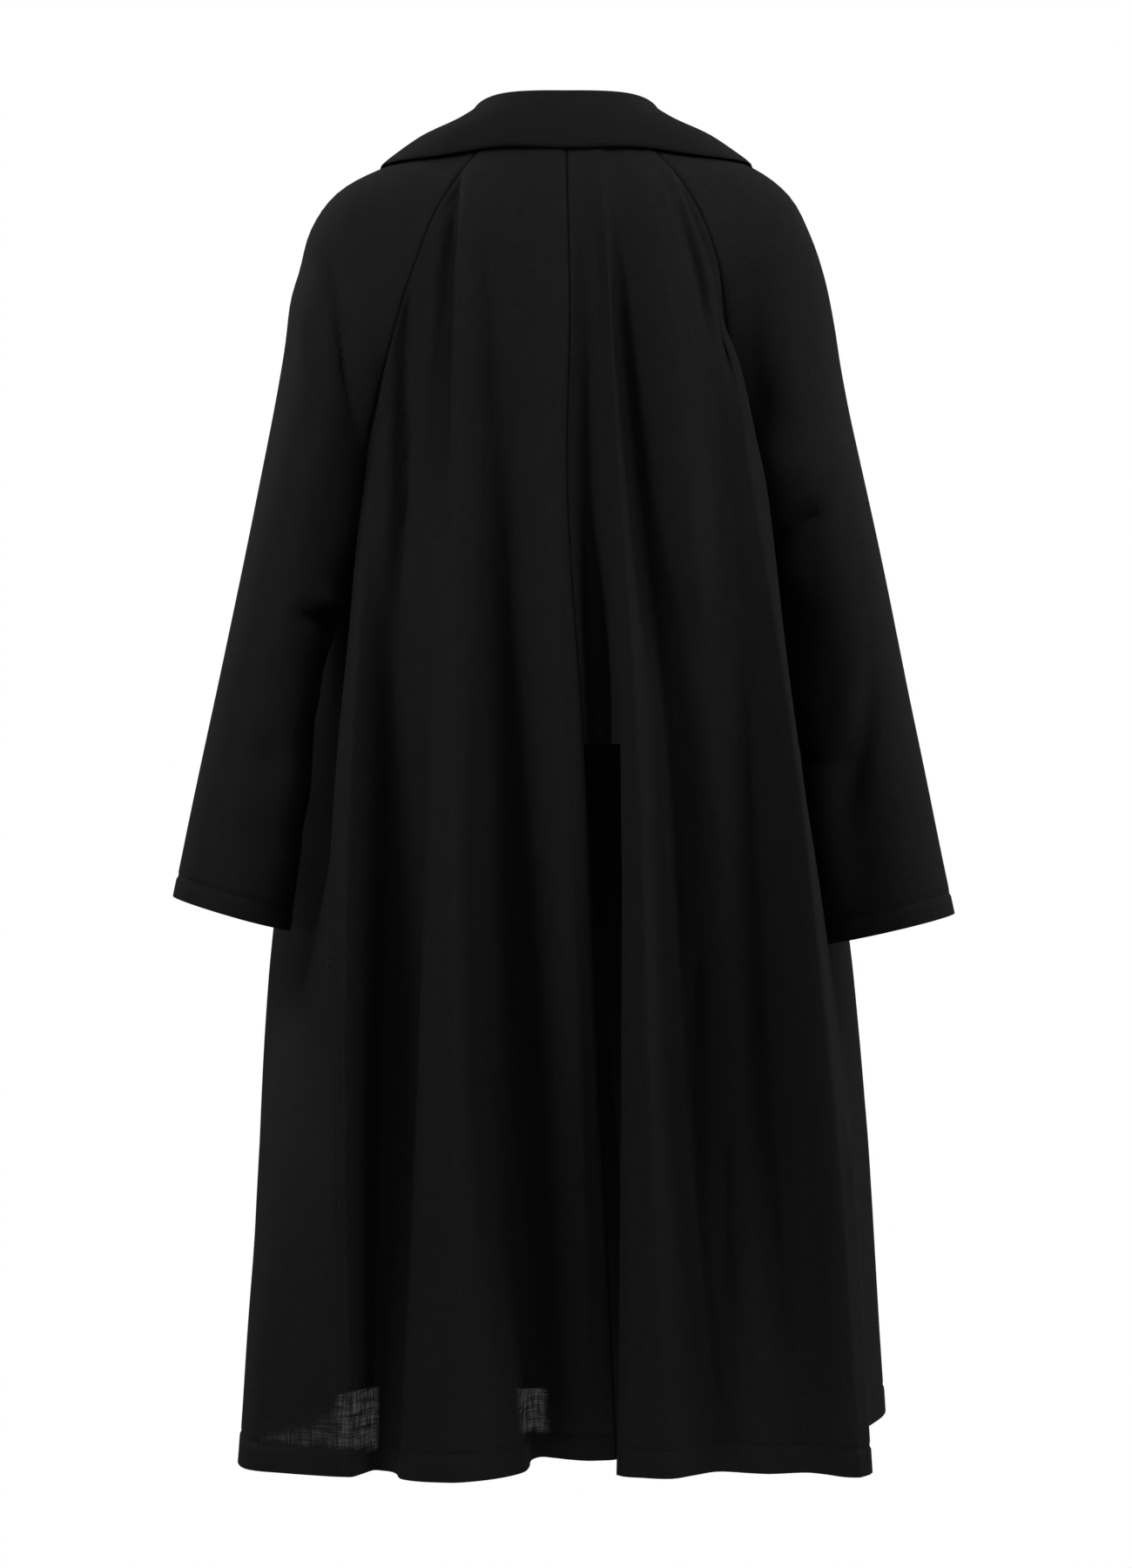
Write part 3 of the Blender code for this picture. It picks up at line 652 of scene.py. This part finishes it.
def collar_grid(grids):
    """Grid of the collar: each row runs up the stand, over the fold and down the fall."""
    sides = []
    for hand in ("left", "right"):
        names = [f"{piece}_{hand}" for piece in ("back", "sleeve_back", "sleeve_front", "front")]
        sides.append(collar_side([grids[name] for name in names]))
    sides[0][0, :, 0] = 0.0
    rows = np.concatenate((sides[0][::-1], sides[1][1:]))
    return np.array([across_row(stops, COLLAR_CELLS) for stops in rows])


def coat_grids():
    """Every panel's grid, with whether its faces turn over."""
    grids = {
        "back_left": (back_panel(BACK_FOLDS_LEFT, BACK_CELLS_LEFT, RAGLAN_BACK_LEFT, SIDE_LEFT), False),
        "back_right": (back_panel(BACK_FOLDS_RIGHT, BACK_CELLS_RIGHT, RAGLAN_BACK_RIGHT, SIDE_RIGHT), True),
        "front_left": (front_panel(FRONT_FOLDS_LEFT, RAGLAN_FRONT_LEFT, SIDE_LEFT, 1.0, LAP_STEP), True),
        "front_right": (front_panel(FRONT_FOLDS_RIGHT, RAGLAN_FRONT_RIGHT, SIDE_RIGHT, -1.0, 0.0), False),
    }
    halves = (
        ("sleeve_back_left", "back_left", UNDERARM_LEFT, OVERARM_LEFT, 1.0, False),
        ("sleeve_back_right", "back_right", UNDERARM_RIGHT, OVERARM_RIGHT, 1.0, True),
        ("sleeve_front_left", "front_left", UNDERARM_LEFT, OVERARM_LEFT, -1.0, True),
        ("sleeve_front_right", "front_right", UNDERARM_RIGHT, OVERARM_RIGHT, -1.0, False),
    )
    for name, body, underarm, overarm, facing, flip in halves:
        raglan = grids[body][0][:len(UPPER_ROWS), -1]
        grids[name] = (sleeve_half(raglan, underarm, overarm, facing), flip)
    grids["collar"] = (collar_grid(grids), False)
    return grids


def row_numbers(count, fine, edge_lines, edge_cell):
    """Row numbers of the fine cloth, with closer lines above its hemmed edge."""
    last = count - 1
    plain = np.linspace(0.0, last - 1, (last - 1) * fine + 1)
    return np.concatenate((plain, last - np.asarray(edge_lines) / edge_cell))


def column_numbers(count, fine):
    """Column numbers of the fine cloth, with closer lines beside its seams."""
    last = count - 1
    plain = np.linspace(0.0, last, last * fine + 1)
    beside = np.asarray(SEAM_COLUMNS)
    return np.sort(np.concatenate((plain, beside, last - beside)))


def refine(grid, downs, acrosses):
    """Points of a smooth sheet through a grid, at the given row and column numbers."""
    tall = smooth(np.arange(len(grid)), grid.reshape(len(grid), -1), downs)
    tall = tall.reshape(len(downs), grid.shape[1], 3).transpose(1, 0, 2)
    wide = smooth(np.arange(grid.shape[1]), tall.reshape(grid.shape[1], -1), acrosses)
    return wide.reshape(len(acrosses), len(downs), 3).transpose(1, 0, 2)


def seen(points, side):
    """Where points show in the picture from straight behind (side 1) or straight in front (side -1)."""
    step = PICTURE_STEP * (1.0 - side * points[..., 1] / VIEW_AWAY)
    across = PICTURE_CENTRE - side * points[..., 0] / step
    down = PICTURE_LEVEL - (points[..., 2] + VIEW_DOWN) / step
    return np.stack((across, down), axis=-1)


def crease_height(places, path, height, half):
    """Height of one soft crease at places in the picture: a ridge above zero, a trough below."""
    last = len(path) - 1
    path = smooth(np.arange(last + 1), path, np.linspace(0, last, CREASE_STEPS * last + 1))
    length = lengths(path)
    nearest = np.full(places.shape[:-1], np.inf)
    share = np.zeros(places.shape[:-1])
    for start, end, at, step in zip(path[:-1], path[1:], length[:-1], np.diff(length)):
        run = (end - start) / step
        along = np.clip((places - start) @ run, 0.0, step)
        off = np.linalg.norm(places - start - along[..., None] * run, axis=-1)
        share = np.where(off < nearest, (at + along) / length[-1], share)
        nearest = np.minimum(nearest, off)
    ends = np.clip(np.minimum(share, 1.0 - share) / CREASE_END, 0.0, 1.0)
    fade = ends * ends * (3.0 - 2.0 * ends)
    uneven = 1.0 + CREASE_UNEVEN * np.sin(CREASE_WAVES * share + path[0, 0])
    return height * fade * uneven * np.exp(-(nearest / half) ** 2)


def slack_height(points):
    """Small soft unevenness of hanging cloth, in millimetres."""
    flat = points.reshape(-1, 3) / np.array((SLACK_WIDE, SLACK_WIDE, SLACK_TALL))
    heights = [noise.noise(Vector(point)) for point in flat]
    return SLACK * np.array(heights).reshape(points.shape[:2])


def run_lengths(points, axis):
    """Length along the columns (axis 0) or the rows (axis 1) of a grid, at each of its points."""
    steps = np.linalg.norm(np.diff(points, axis=axis), axis=2)
    before = ((1, 0), (0, 0)) if axis == 0 else ((0, 0), (1, 0))
    return np.pad(np.cumsum(steps, axis=axis), before)


def seam_distance(points):
    """Distance of every point from the nearer seam, along its row."""
    from_first = run_lengths(points, 1)
    return np.minimum(from_first, from_first[:, -1:] - from_first)


def shape_cloth(name, points, flip):
    """Press the creases that lie on a piece into it, and roll it beside its seams."""
    heights = slack_height(points)
    for table, side in ((BACK_CREASES, 1.0), (FRONT_CREASES, -1.0)):
        places = seen(points, side)
        for height, half, path in table.get(name, ()):
            heights += crease_height(places, path, height, half)
    away = seam_distance(points)
    heights *= np.clip(away / SEAM_FREE, 0.0, 1.0)
    heights += SEAM_ROLL * (1.0 - np.exp(-(away / SEAM_GROOVE) ** 2)) * np.exp(-away / SEAM_ROLL_WIDE)
    return points + heights[..., None] * outward(points, flip)


def hem_height(lines, stitch_up):
    """Height of a turned hem: a little proud below its stitching, drawn in along it."""
    lines = np.asarray(lines, float)
    proud = HEM_PROUD * (lines < stitch_up - HEM_EASE)
    drawn = -HEM_DRAWN_IN * np.exp(-((lines - stitch_up) / HEM_DRAWN_WIDE) ** 2)
    return proud + drawn


def add_object(name, data):
    """A new object in the scene."""
    thing = bpy.data.objects.new(name, data)
    bpy.context.scene.collection.objects.link(thing)
    return thing


def cloth_sheet(name, points, cells, flip, material):
    """One layer of cloth over the cells, with its threads mapped in metres."""
    used = np.zeros(points.shape[:2], bool)
    for rows in (slice(None, -1), slice(1, None)):
        for columns in (slice(None, -1), slice(1, None)):
            used[rows, columns] |= cells
    number = np.full(used.shape, -1)
    number[used] = np.arange(used.sum())
    faces = []
    for row, column in zip(*np.nonzero(cells)):
        ring = [number[row, column], number[row, column + 1],
                number[row + 1, column + 1], number[row + 1, column]]
        faces.append([int(corner) for corner in (reversed(ring) if flip else ring)])
    mesh = bpy.data.meshes.new(name)
    mesh.from_pydata((points[used] * MM).tolist(), [], faces)
    across = run_lengths(points, 1)
    middle = points.shape[1] // 2
    across -= across[:, middle:middle + 1].copy()
    threads = np.stack((across, run_lengths(points, 0)), axis=-1)[used] * MM
    layer = mesh.uv_layers.new(name="threads")
    corners = np.zeros(len(mesh.loops), int)
    mesh.loops.foreach_get("vertex_index", corners)
    layer.data.foreach_set("uv", threads[corners].ravel())
    mesh.materials.append(material)
    return add_object(name, mesh), used


def inside_patch(places, corners):
    """How far inside a patch with straight sides each place lies, from 0 outside to 1 a soft edge in."""
    corners = np.asarray(corners, float)
    nearest = np.full(places.shape[:-1], np.inf)
    inside = np.zeros(places.shape[:-1], bool)
    for start, end in zip(corners, np.roll(corners, -1, axis=0)):
        run = end - start
        along = np.clip(((places - start) @ run) / (run @ run), 0.0, 1.0)
        nearest = np.minimum(nearest, np.linalg.norm(places - start - along[..., None] * run, axis=-1))
        spans = (start[1] > places[..., 1]) != (end[1] > places[..., 1])
        rise = run[1] if run[1] else 1.0
        meets = start[0] + (places[..., 1] - start[1]) * run[0] / rise
        inside ^= spans & (places[..., 0] < meets)
    return np.clip(0.5 + np.where(inside, nearest, -nearest) / SHEER_SOFT, 0.0, 1.0)


def sheer_share(name, points):
    """How much light shows through the weave at each point."""
    share = np.zeros(points.shape[:2])
    for patch_piece, shows, corners in SHEER_PATCHES:
        if patch_piece == name:
            share = np.maximum(share, shows * inside_patch(seen(points, 1.0), corners))
    return share


def painted_seam_shade(name, points, downs):
    """Painted shade along the seams: how strongly each point is darkened, most at a seam; free edges and
    pressed-open side seams have none.
    """
    away = seam_distance(points)
    middle = points.shape[1] // 2
    if name.startswith("front"):
        away[:, :middle] = SEAM_ROLL_WIDE
    if not name.startswith("sleeve"):
        away[downs > UNDERARM_ROW, middle:] = SEAM_ROLL_WIDE
    return np.exp(-(away / SEAM_SHADE_WIDE) ** 2)


def mark_points(piece, name, values):
    """Write a value on each point of a piece."""
    layer = piece.data.attributes.new(name, "FLOAT", "POINT")
    layer.data.foreach_set("value", values)


def select_only(piece):
    """Make a piece the only one selected."""
    bpy.ops.object.select_all(action="DESELECT")
    bpy.context.view_layer.objects.active = piece
    piece.select_set(True)


def apply_modifier(piece, kind, **settings):
    """Add a modifier to a piece and apply it."""
    select_only(piece)
    modifier = piece.modifiers.new(kind.lower(), kind)
    for setting, value in settings.items():
        setattr(modifier, setting, value)
    bpy.ops.object.modifier_apply(modifier=modifier.name)


def smooth_shade(piece, degrees):
    """Shade a piece smooth, with edges past an angle left sharp."""
    select_only(piece)
    bpy.ops.object.shade_smooth_by_angle(angle=math.radians(degrees))


def new_material(name):
    """A material, with its nodes and its main shader."""
    material = bpy.data.materials.new(name)
    material.use_nodes = True
    return material, material.node_tree, material.node_tree.nodes["Principled BSDF"]


def feed(tree, source, socket):
    """Link a socket to a source, or set it to a plain number or colour."""
    if isinstance(source, bpy.types.NodeSocket):
        tree.links.new(source, socket)
    else:
        socket.default_value = source


def math_node(tree, operation, *sources):
    """The output of a math node that is fed by sockets or plain numbers."""
    node = tree.nodes.new("ShaderNodeMath")
    node.operation = operation
    for source, socket in zip(sources, node.inputs):
        feed(tree, source, socket)
    return node.outputs[0]


def ranged(tree, source, low, high, to_low=0.0, to_high=1.0):
    """A value moved from one range to another."""
    node = tree.nodes.new("ShaderNodeMapRange")
    for name, value in (("From Min", low), ("From Max", high), ("To Min", to_low), ("To Max", to_high)):
        node.inputs[name].default_value = value
    tree.links.new(source, node.inputs["Value"])
    return node.outputs["Result"]


def mixed(tree, share, first, second):
    """A colour between two others, each a socket or a plain colour."""
    node = tree.nodes.new("ShaderNodeMix")
    node.data_type = "RGBA"
    for name, source in (("Factor", share), ("A", first), ("B", second)):
        feed(tree, source, node.inputs[name])
    return node.outputs["Result"]


def point_value(tree, name):
    """A value that is written on the points of a piece."""
    node = tree.nodes.new("ShaderNodeAttribute")
    node.attribute_name = name
    return node.outputs["Fac"]


def streaks(tree, threads, stretch):
    """Soft streaks along the threads, from 0 to 1."""
    scaled = tree.nodes.new("ShaderNodeVectorMath")
    scaled.operation = "MULTIPLY"
    scaled.inputs[1].default_value = stretch
    tree.links.new(threads, scaled.inputs[0])
    texture = tree.nodes.new("ShaderNodeTexNoise")
    texture.inputs["Scale"].default_value = 1.0
    texture.inputs["Detail"].default_value = 3.0
    tree.links.new(scaled.outputs[0], texture.inputs["Vector"])
    return texture.outputs["Fac"]


def weave_group():
    """Plain weave: threads over and under, with uneven yarn. Gives its shade, its height and its gaps."""
    group = bpy.data.node_groups.new("plain_weave", "ShaderNodeTree")
    sockets = (
        ("Threads", "INPUT", "NodeSocketVector"),
        ("Threads a Metre", "INPUT", "NodeSocketFloat"),
        ("Shade", "OUTPUT", "NodeSocketFloat"),
        ("Height", "OUTPUT", "NodeSocketFloat"),
        ("Gap", "OUTPUT", "NodeSocketFloat"),
    )
    for name, way, kind in sockets:
        group.interface.new_socket(name=name, in_out=way, socket_type=kind)
    start = group.nodes.new("NodeGroupInput")
    end = group.nodes.new("NodeGroupOutput")
    scaled = group.nodes.new("ShaderNodeVectorMath")
    scaled.operation = "SCALE"
    group.links.new(start.outputs["Threads"], scaled.inputs[0])
    group.links.new(start.outputs["Threads a Metre"], scaled.inputs["Scale"])
    split = group.nodes.new("ShaderNodeSeparateXYZ")
    group.links.new(scaled.outputs[0], split.inputs[0])
    crowns = []
    cells = []
    for axis in ("X", "Y"):
        wave = math_node(group, "SINE", math_node(group, "MULTIPLY", split.outputs[axis], math.pi))
        crowns.append(math_node(group, "ABSOLUTE", wave))
        cells.append(math_node(group, "FLOOR", split.outputs[axis]))
    over = math_node(group, "FLOORED_MODULO", math_node(group, "ADD", cells[0], cells[1]), 2.0)
    under = math_node(group, "SUBTRACT", 1.0, over)
    height = math_node(group, "ADD", math_node(group, "MULTIPLY", crowns[0], over),
                       math_node(group, "MULTIPLY", crowns[1], under))
    warp = streaks(group, start.outputs["Threads"], (STREAKS_ACROSS, STREAKS_ALONG, 1.0))
    weft = streaks(group, start.outputs["Threads"], (STREAKS_ALONG, STREAKS_ACROSS, 1.0))
    yarn = math_node(group, "MULTIPLY", math_node(group, "ADD", warp, weft), 0.5)
    shade = math_node(group, "ADD", math_node(group, "MULTIPLY", yarn, YARN_SHARE),
                      math_node(group, "MULTIPLY", height, 1.0 - YARN_SHARE))
    group.links.new(shade, end.inputs["Shade"])
    group.links.new(math_node(group, "ADD", height, yarn), end.inputs["Height"])
    gap = math_node(group, "MULTIPLY", ranged(group, warp, *THIN_YARN), ranged(group, weft, *THIN_YARN))
    group.links.new(gap, end.inputs["Gap"])
    return group


def hanging_gaps(tree, weave):
    """Gaps of the weave as it lies over the hanging cloth, seen from straight behind."""
    place = tree.nodes.new("ShaderNodeTexCoord")
    upright = tree.nodes.new("ShaderNodeMapping")
    upright.inputs["Rotation"].default_value = (math.radians(90), 0.0, 0.0)
    upright.inputs["Scale"].default_value = (OPEN_WEAVE, OPEN_WEAVE, OPEN_WEAVE)
    tree.links.new(place.outputs["Object"], upright.inputs["Vector"])
    woven = tree.nodes.new("ShaderNodeGroup")
    woven.node_tree = weave
    tree.links.new(upright.outputs["Vector"], woven.inputs["Threads"])
    return woven.outputs["Gap"]


def cloth_material(name, weave, threads_a_metre, sheer=False):
    """Black wool cloth with a soft sheen and painted shade along its seams; a sheer one lets light through
    where a layer hangs alone.
    """
    material, tree, shader = new_material(name)
    shader.inputs["Specular IOR Level"].default_value = 0.02
    shader.inputs["Sheen Weight"].default_value = 0.008
    shader.inputs["Sheen Roughness"].default_value = 0.4
    shader.inputs["Sheen Tint"].default_value = (0.9, 0.94, 1.0, 1.0)
    threads = tree.nodes.new("ShaderNodeUVMap")
    threads.uv_map = "threads"
    woven = tree.nodes.new("ShaderNodeGroup")
    woven.node_tree = weave
    woven.inputs["Threads a Metre"].default_value = threads_a_metre
    tree.links.new(threads.outputs["UV"], woven.inputs["Threads"])
    shade = woven.outputs["Shade"]
    yarn = mixed(tree, ranged(tree, shade, *CLOTH_SHADES), *CLOTH_TONES)
    # Painted shade: the base colour is darkened towards near-black along the seams, where the cloth dips.
    seam_shade = math_node(tree, "MULTIPLY", point_value(tree, "painted_seam_shade"), SEAM_SHADE_STRENGTH)
    tree.links.new(mixed(tree, seam_shade, yarn, SEAM_SHADE_TONE), shader.inputs["Base Color"])
    tree.links.new(ranged(tree, shade, 0.0, 1.0, *CLOTH_ROUGH), shader.inputs["Roughness"])
    bump = tree.nodes.new("ShaderNodeBump")
    bump.inputs["Strength"].default_value = 0.35
    bump.inputs["Distance"].default_value = 0.0004
    tree.links.new(woven.outputs["Height"], bump.inputs["Height"])
    tree.links.new(bump.outputs["Normal"], shader.inputs["Normal"])
    if sheer:
        gaps = math_node(tree, "MULTIPLY", point_value(tree, "single_layer"), hanging_gaps(tree, weave))
        through = math_node(tree, "SQRT", gaps)
        tree.links.new(math_node(tree, "SUBTRACT", 1.0, through), shader.inputs["Alpha"])
    return material


def thread_material():
    """Black sewing thread, a little glossier than the cloth."""
    material, tree, shader = new_material("black_thread")
    shader.inputs["Roughness"].default_value = 0.55
    shader.inputs["Specular IOR Level"].default_value = 0.2
    place = tree.nodes.new("ShaderNodeTexCoord")
    twist = tree.nodes.new("ShaderNodeTexNoise")
    twist.inputs["Scale"].default_value = 1500.0
    tree.links.new(place.outputs["Object"], twist.inputs["Vector"])
    tree.links.new(mixed(tree, twist.outputs["Fac"], *THREAD_TONES), shader.inputs["Base Color"])
    return material


def body_cells(name, downs, acrosses):
    """Which cells of a body panel are cloth: all but the vent's."""
    cells = np.ones((len(downs) - 1, len(acrosses) - 1), bool)
    if name == "back_right":
        below = downs[:-1] >= BODY_ROWS.index(VENT_DOWN)
        beside = acrosses[1:] <= VENT_COLUMNS
        cells[np.ix_(below, beside)] = False
    return cells


def add_vent_return(points, cells, downs, fine):
    """The left back with the turned-in edge of the vent before its centre seam."""
    first = BODY_ROWS.index(VENT_DOWN)
    below = downs >= first
    acrosses = np.linspace(0.0, VENT_RETURN_CELLS, VENT_RETURN_CELLS * fine + 1)
    turned = refine(vent_return(), downs[below] - first, acrosses)[:, :-1]
    whole = np.zeros((len(points), turned.shape[1], 3))
    whole[below] = turned
    whole[~below] = turned[0]
    return_cells = np.zeros((len(cells), turned.shape[1]), bool)
    return_cells[below[:-1]] = True
    return np.concatenate((whole, points), axis=1), np.concatenate((return_cells, cells), axis=1)


def stitch_shape():
    """One stitch, lying along X with its back up along Z: points in millimetres and faces."""
    bpy.ops.object.select_all(action="DESELECT")
    bpy.ops.mesh.primitive_cylinder_add(vertices=STITCH_SIDES, radius=0.5 * STITCH_THICK * MM,
                                        depth=STITCH_LENGTH * MM, rotation=(0.0, math.radians(90), 0.0))
    stitch = bpy.context.object
    bpy.ops.object.transform_apply(rotation=True)
    bpy.ops.object.mode_set(mode="EDIT")
    bpy.ops.mesh.select_all(action="SELECT")
    bpy.ops.mesh.bisect(plane_co=(0.0, 0.0, 0.0), plane_no=(1.0, 0.0, 0.0))
    bpy.ops.mesh.select_all(action="SELECT")
    bpy.ops.mesh.normals_make_consistent()
    bpy.ops.mesh.select_all(action="DESELECT")
    bpy.ops.object.mode_set(mode="OBJECT")
    for vertex in stitch.data.vertices:
        vertex.select = abs(vertex.co.x) > 0.25 * STITCH_LENGTH * MM
    bpy.ops.object.mode_set(mode="EDIT")
    bpy.ops.transform.resize(value=(1.0, STITCH_TAPER, STITCH_TAPER))
    bpy.ops.transform.translate(value=(0.0, 0.0, -STITCH_DIP * MM))
    bpy.ops.object.mode_set(mode="OBJECT")
    points = np.array([vertex.co for vertex in stitch.data.vertices]) / MM
    faces = [list(face.vertices) for face in stitch.data.polygons]
    bpy.data.objects.remove(stitch, do_unlink=True)
    return points, faces


def sew(name, shape, places, along, out, material):
    """Stitches at places, each lying along its seam with its back outwards, as one piece."""
    shape_points, shape_faces = shape
    points = []
    faces = []
    for place, run, normal in zip(places, unit(along), unit(out)):
        side = np.cross(normal, run)
        faces += [[corner + len(points) for corner in face] for face in shape_faces]
        points += [place + p[0] * run + p[1] * side + p[2] * normal for p in shape_points]
    mesh = bpy.data.meshes.new(name)
    mesh.from_pydata((np.array(points) * MM).tolist(), [], faces)
    mesh.shade_smooth()
    mesh.materials.append(material)
    piece = add_object(name, mesh)
    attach(piece, "root")
    return piece


def hem_stitches(name, shape, row, normals, material):
    """A line of stitches along a row of a panel."""
    length = lengths(row)
    places = np.arange(STITCH_PITCH, length[-1] - STITCH_PITCH, STITCH_PITCH)
    at = straight(length, row, places)
    along = np.gradient(at, axis=0)
    return sew("stitches_" + name, shape, at, along, straight(length, normals, places), material)


def pocket_tack(name, shape, edge, normals, level, count, material):
    """A bar tack across a side seam: short threads packed close together."""
    row = int(np.argmin(np.abs(seen(edge, 1.0)[:, 1] - level)))
    run = unit(edge[row + 1] - edge[row - 1])
    across = unit(np.cross(normals[row], run))
    offsets = (np.arange(count) - 0.5 * (count - 1)) * TACK_PITCH
    places = edge[row] + offsets[:, None] * run + SEAM_ROLL * normals[row]
    stretch = np.array((TACK_LENGTH / STITCH_LENGTH, 1.0, 1.0))
    wide = (shape[0] * stretch, shape[1])
    return sew(name, wide, places, np.tile(across, (count, 1)), np.tile(normals[row], (count, 1)), material)


def cells_edge(cells):
    """Columns that reach the bottom edge of a panel."""
    last = np.nonzero(cells[-1])[0]
    return slice(last[0], last[-1] + 2)


def make_panel(name, grid, flip, cloth, thread, shape):
    """One panel of the coat as a creased sheet of cloth with a turned and stitched hem."""
    sleeve = name.startswith("sleeve")
    fine = SLEEVE_FINE if sleeve else FRONT_FINE if name.startswith("front") else BODY_FINE
    lines = CUFF_LINES if sleeve else HEM_LINES
    stitch_up = CUFF_STITCH_UP if sleeve else HEM_STITCH_UP
    edge_cell = np.linalg.norm(grid[-1] - grid[-2], axis=1).mean()
    downs = row_numbers(len(grid), fine[0], lines, edge_cell)
    acrosses = column_numbers(grid.shape[1], fine[1])
    points = shape_cloth(name, refine(grid, downs, acrosses), flip)
    normals = outward(points, flip)
    hem = slice(-len(lines), None)
    hold = np.clip(seam_distance(points[hem]) / SEAM_FREE, 0.0, 1.0)
    turned = hem_height(lines, stitch_up)[:, None] * hold
    points[hem] += turned[..., None] * normals[hem]
    cells = body_cells(name, downs, acrosses)
    stitched = (lines.index(stitch_up) - len(lines), cells_edge(cells))
    sewn = [hem_stitches(name, shape, points[stitched], normals[stitched], thread)]
    for number, (tack_piece, level, count) in enumerate(POCKET_TACKS):
        if tack_piece == name:
            tack = f"tack_{name}_{number}"
            sewn.append(pocket_tack(tack, shape, points[:, -1], normals[:, -1], level, count, thread))
    # Painted shade along the seams, written on the points for the material to darken the colour.
    seam_shade = painted_seam_shade(name, points, downs)
    if name == "back_left":
        points, cells = add_vent_return(points, cells, downs, fine[1])
        seam_shade = np.pad(seam_shade, ((0, 0), (points.shape[1] - seam_shade.shape[1], 0)))
    piece, used = cloth_sheet("cloth_" + name, points, cells, flip, cloth)
    mark_points(piece, "painted_seam_shade", seam_shade[used])
    if name in SHEER_PIECES:
        mark_points(piece, "single_layer", sheer_share(name, points)[used])
    apply_modifier(piece, "SOLIDIFY", thickness=CLOTH * MM, offset=-1.0)
    smooth_shade(piece, SHARP_ANGLE)
    return piece, sewn


def make_collar(grid, material):
    """The collar, two layers thick with a rounded edge."""
    downs = np.linspace(0.0, len(grid) - 1, (len(grid) - 1) * COLLAR_FINE[0] + 1)
    acrosses = np.linspace(0.0, grid.shape[1] - 1, (grid.shape[1] - 1) * COLLAR_FINE[1] + 1)
    points = refine(grid, downs, acrosses)
    cells = np.ones((len(downs) - 1, len(acrosses) - 1), bool)
    piece, _ = cloth_sheet("cloth_collar", points, cells, False, material)
    apply_modifier(piece, "SOLIDIFY", thickness=COLLAR_CLOTH * MM, offset=-1.0)
    apply_modifier(piece, "SUBSURF", levels=1, render_levels=1)
    smooth_shade(piece, SHARP_ANGLE)
    return piece


def make_coat():
    """All the cloth of the coat and its sewing."""
    weave = weave_group()
    plain = cloth_material("black_wool", weave, CLOTH_THREADS)
    single = cloth_material("black_wool_single_layer", weave, CLOTH_THREADS, sheer=True)
    doubled = cloth_material("black_wool_doubled", weave, COLLAR_THREADS)
    thread = thread_material()
    shape = stitch_shape()
    for name, (grid, flip) in coat_grids().items():
        sewn = []
        if name == "collar":
            piece = make_collar(grid, doubled)
        else:
            cloth = single if name in SHEER_PIECES else plain
            piece, sewn = make_panel(name, grid, flip, cloth, thread, shape)
        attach(piece, "root")
        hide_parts(name)


def make_camera():
    """Camera straight behind the coat, framed as the picture is."""
    data = bpy.data.cameras.new("camera")
    data.sensor_fit = "HORIZONTAL"
    data.sensor_width = SENSOR
    data.lens = SENSOR * VIEW_AWAY / (PICTURE_WIDE * PICTURE_STEP)
    data.shift_y = (PICTURE_LEVEL - PICTURE_HIGH / 2) / PICTURE_WIDE
    camera = add_object("camera", data)
    camera.location = (0.0, VIEW_AWAY * MM, -VIEW_DOWN * MM)
    camera.rotation_euler = (math.radians(90), 0.0, math.radians(180))
    bpy.context.scene.camera = camera


def soft_light(name, place, aim, wide, high, power, spread):
    """A large soft lamp that faces a point of the coat."""
    data = bpy.data.lights.new(name, "AREA")
    data.shape = "RECTANGLE"
    data.size = wide
    data.size_y = high
    data.energy = power
    data.spread = math.radians(spread)
    lamp = add_object(name, data)
    lamp.location = place
    lamp.rotation_euler = (Vector(aim) - Vector(place)).to_track_quat("-Z", "Y").to_euler()


def make_world():
    """A white surround that fills the shadows only a little."""
    world = bpy.data.worlds.new("studio")
    world.use_nodes = True
    tree = world.node_tree
    sky = tree.nodes["Background"]
    sky.inputs["Color"].default_value = (1.0, 1.0, 1.0, 1.0)
    path = tree.nodes.new("ShaderNodeLightPath")
    level = ranged(tree, path.outputs["Is Camera Ray"], 0.0, 1.0, FILL_LIGHT, 1.0)
    tree.links.new(level, sky.inputs["Strength"])
    bpy.context.scene.world = world


def make_floor():
    """A plain pale floor."""
    bpy.ops.object.select_all(action="DESELECT")
    bpy.ops.mesh.primitive_circle_add(vertices=FLOOR_SIDES, radius=FLOOR_RADIUS, fill_type="NGON",
                                      location=(0.0, 0.0, -FLOOR_DOWN))
    floor = bpy.context.object
    floor.name = "floor"
    material, _, shader = new_material("pale_floor")
    shader.inputs["Base Color"].default_value = (0.93, 0.93, 0.93, 1.0)
    shader.inputs["Roughness"].default_value = 0.9
    shader.inputs["Specular IOR Level"].default_value = 0.1
    floor.data.materials.append(material)


def make_studio():
    """The floor under soft white light."""
    bpy.context.scene.view_settings.view_transform = "Standard"
    make_world()
    for lamp in SOFT_LIGHTS:
        soft_light(*lamp)
    make_floor()


make_camera()
make_studio()
make_coat()
